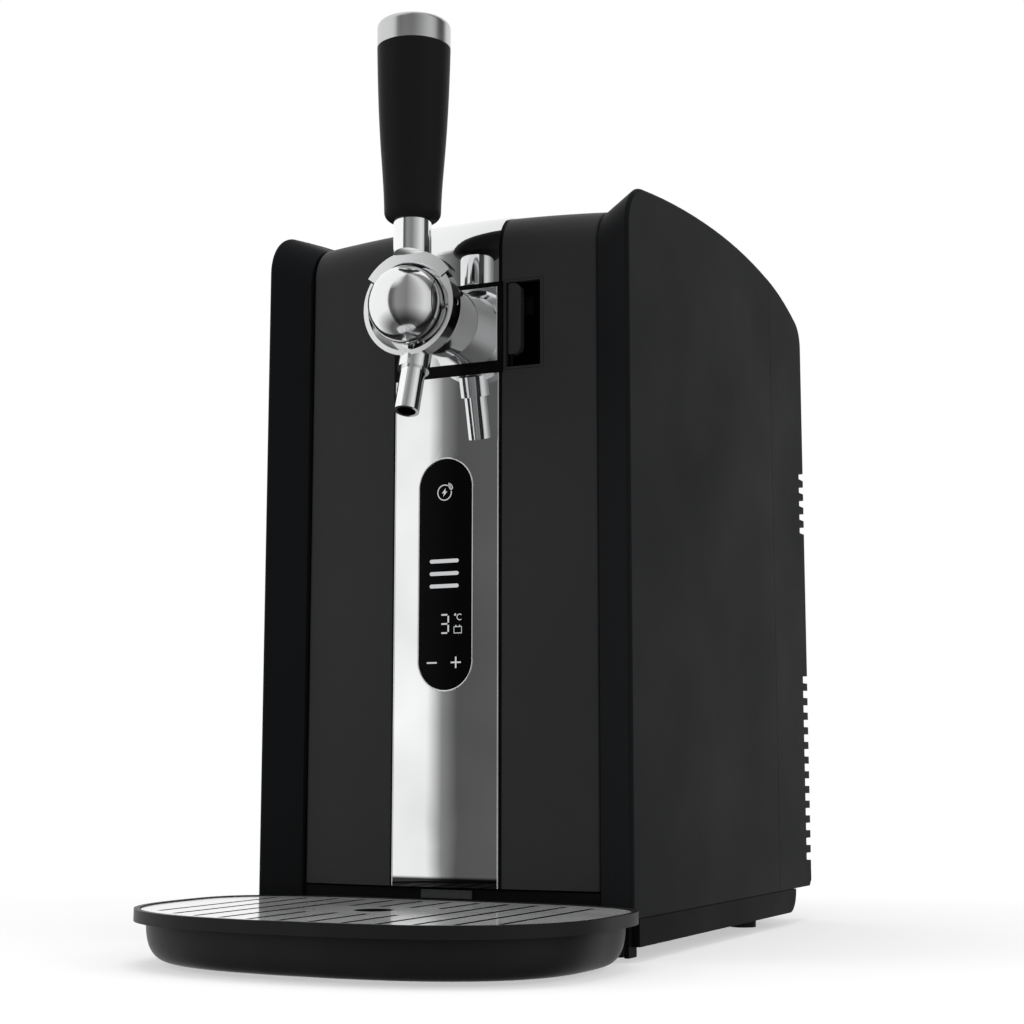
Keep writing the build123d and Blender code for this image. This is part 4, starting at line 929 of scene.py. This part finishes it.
@dataclass
class Studio:
    """Pale floor, soft lights and the camera."""

    floor_colour: Colour = (0.97, 0.97, 0.97)
    floor_roughness: float = 0.9
    floor_reach: tuple[float, float] = (0.55, 1.1)
    floor_margin: float = 1.2
    shade: float = 0.5
    ambient: float = 0.62
    room_stops: tuple[tuple[float, float], ...] = (
        (-29.6, 1.0), (-27.8, 0.09), (-18.0, 0.12), (-4.0, 0.28), (26.0, 0.22), (52.0, 0.45), (80.0, 0.75),
        (100.0, 0.65), (108.0, 0.06), (138.0, 0.05), (146.0, 1.0))
    top_edge: tuple[float, float] = (-0.3, 0.2)
    ground_edge: tuple[float, float] = (-0.8, -0.3)
    ground_level: float = 0.12
    ceiling_edge: tuple[float, float] = (0.5, 0.85)
    ceiling_level: float = 0.9
    ceiling_dim: float = 0.25
    camera_place: Point = (517.8, -1059.1, 107.3)
    yaw: float = 25.79
    pitch: float = 7.98
    roll: float = 0.03
    lens: float = 64.54

    def camera(self) -> None:
        """Add the camera."""
        data = bpy.data.cameras.new("camera")
        data.lens = self.lens
        data.sensor_width = 36.0
        data.clip_end = 50.0
        camera = bpy.data.objects.new("camera", data)
        turn = (Matrix.Rotation(math.radians(self.yaw), 4, "Z")
                @ Matrix.Rotation(math.radians(90 + self.pitch), 4, "X")
                @ Matrix.Rotation(math.radians(self.roll), 4, "Z"))
        camera.matrix_world = Matrix.Translation(Vector(self.camera_place) * MM) @ turn
        bpy.context.scene.collection.objects.link(camera)
        bpy.context.scene.camera = camera

    def floor(self) -> None:
        """Add the floor."""
        mesh = bmesh.new()
        bmesh.ops.create_circle(mesh, cap_ends=True, segments=96,
                                radius=self.floor_reach[1] * self.floor_margin)
        floor = new_piece("studio_floor", mesh)
        floor.data.materials.append(self.floor_material())

    def floor_material(self) -> bpy.types.Material:
        """A white floor that takes the object's shadow and fades into the white room.

        Returns:
            The material.
        """
        material = bpy.data.materials.new("studio_floor")
        material.use_nodes = True
        nodes = Nodes(material.node_tree)
        surface = shader_of(material)
        surface.inputs["Base Color"].default_value = (*self.floor_colour, 1.0)
        surface.inputs["Roughness"].default_value = self.floor_roughness
        surface.inputs["Specular IOR Level"].default_value = 0.0
        reach = nodes.add("VectorMath", operation="LENGTH")
        nodes.link(nodes.place(), reach.inputs[0])
        rays = nodes.add("LightPath")
        near, far = self.floor_reach
        shown = nodes.math("MULTIPLY", nodes.ramp(reach.outputs["Value"], near, far, self.shade, 0.0),
                           nodes.math("SUBTRACT", 1.0, rays.outputs["Is Glossy Ray"]))
        nodes.link(shown, surface.inputs["Alpha"])
        return material

    def world(self) -> None:
        """A room that is plain white to the eye, and has grey and white walls in reflections."""
        world = bpy.data.worlds.new("studio")
        bpy.context.scene.world = world
        world.use_nodes = True
        nodes = Nodes(world.node_tree)
        backdrop = world.node_tree.nodes["Background"]
        output = world.node_tree.nodes["World Output"]
        backdrop.inputs["Color"].default_value = (1.0, 1.0, 1.0, 1.0)
        rays = nodes.add("LightPath")
        seen = nodes.math("MAXIMUM", rays.outputs["Is Camera Ray"], rays.outputs["Is Transmission Ray"])
        room = nodes.add("Background")
        room.inputs["Color"].default_value = (1.0, 1.0, 1.0, 1.0)
        nodes.link(self.room_level(nodes, rays), room.inputs["Strength"])
        mix = nodes.add("MixShader")
        nodes.link(seen, mix.inputs[0])
        nodes.link(room.outputs[0], mix.inputs[1])
        nodes.link(backdrop.outputs[0], mix.inputs[2])
        nodes.link(mix.outputs[0], output.inputs["Surface"])

    def room_level(self, nodes: Nodes, rays: bpy.types.Node) -> bpy.types.NodeSocket:
        """Brightness of the room: by direction in reflections, even for all other light.

        Args:
            nodes: the world's nodes.
            rays: its light path.

        Returns:
            The strength.
        """
        way = nodes.axes(nodes.add("TexCoord").outputs["Generated"])
        turn = nodes.math("ARCTAN2", way["X"], nodes.math("MULTIPLY", way["Y"], -1.0))
        round_room = nodes.add("ValToRGB")
        nodes.link(nodes.ramp(turn, -math.pi, math.pi), round_room.inputs["Fac"])
        stops = round_room.color_ramp.elements
        while len(stops) > 1:
            stops.remove(stops[-1])
        stops[0].position = 0.0
        stops[0].color = (1.0, 1.0, 1.0, 1.0)
        for turned, level in self.room_stops:
            stop = stops.new((turned + 180.0) / 360.0)
            stop.color = (level, level, level, 1.0)
        above = nodes.ramp(way["Z"], *self.ceiling_edge, 0.0, self.ceiling_level)
        top = nodes.math("MULTIPLY", above, nodes.ramp(turn, *self.top_edge, 1.0, self.ceiling_dim))
        walls = nodes.math("MULTIPLY", round_room.outputs["Color"],
                           nodes.ramp(way["Z"], *self.ground_edge, self.ground_level, 1.0))
        bright = nodes.math("MAXIMUM", walls, top)
        glossy = rays.outputs["Is Glossy Ray"]
        diffuse = nodes.math("MULTIPLY", nodes.math("SUBTRACT", 1.0, glossy), self.ambient)
        shown = nodes.math("MULTIPLY", bright, glossy)
        return nodes.math("ADD", shown, diffuse)

    def lamp(self, name: str, place: Point, size: tuple[float, float], watts: float,
             target: Point = (0.0, 0.0, 0.25)) -> None:
        """Add one softbox.

        Args:
            name: its name.
            place: where it hangs, in metres.
            size: its width and height.
            watts: its power.
            target: what it points at.
        """
        data = bpy.data.lights.new(name, "AREA")
        data.shape = "RECTANGLE"
        data.size, data.size_y = size
        data.energy = watts
        lamp = bpy.data.objects.new(name, data)
        aim = (Vector(target) - Vector(place)).to_track_quat("-Z", "Y")
        lamp.matrix_world = Matrix.Translation(place) @ aim.to_matrix().to_4x4()
        lamp.visible_glossy = False
        bpy.context.scene.collection.objects.link(lamp)

    def build(self) -> None:
        """Set up the whole studio."""
        self.camera()
        self.floor()
        self.world()
        self.lamp("softbox_left", (-2.2, -1.4, 1.3), (1.4, 2.2), 22.0)
        self.lamp("softbox_right", (2.4, 0.2, 1.2), (1.2, 2.2), 20.0)
        self.lamp("softbox_top", (0.0, -0.1, 2.4), (1.8, 1.8), 22.0, target=(0.0, 0.0, 0.2))
        bpy.context.scene.view_settings.view_transform = "Standard"


def main() -> None:
    """Build the sub-assemblies in order and report them."""
    logging.basicConfig(level=logging.INFO, format="%(name)s: %(message)s")
    palette = Palette()
    for assembly in (Studio(), Cabinet(palette), Door(palette), Tap(palette), DripTray(palette),
                     Display(palette)):
        assembly.build()
        LOG.info("%s is built", type(assembly).__name__)


if __name__ == "__main__":
    main()
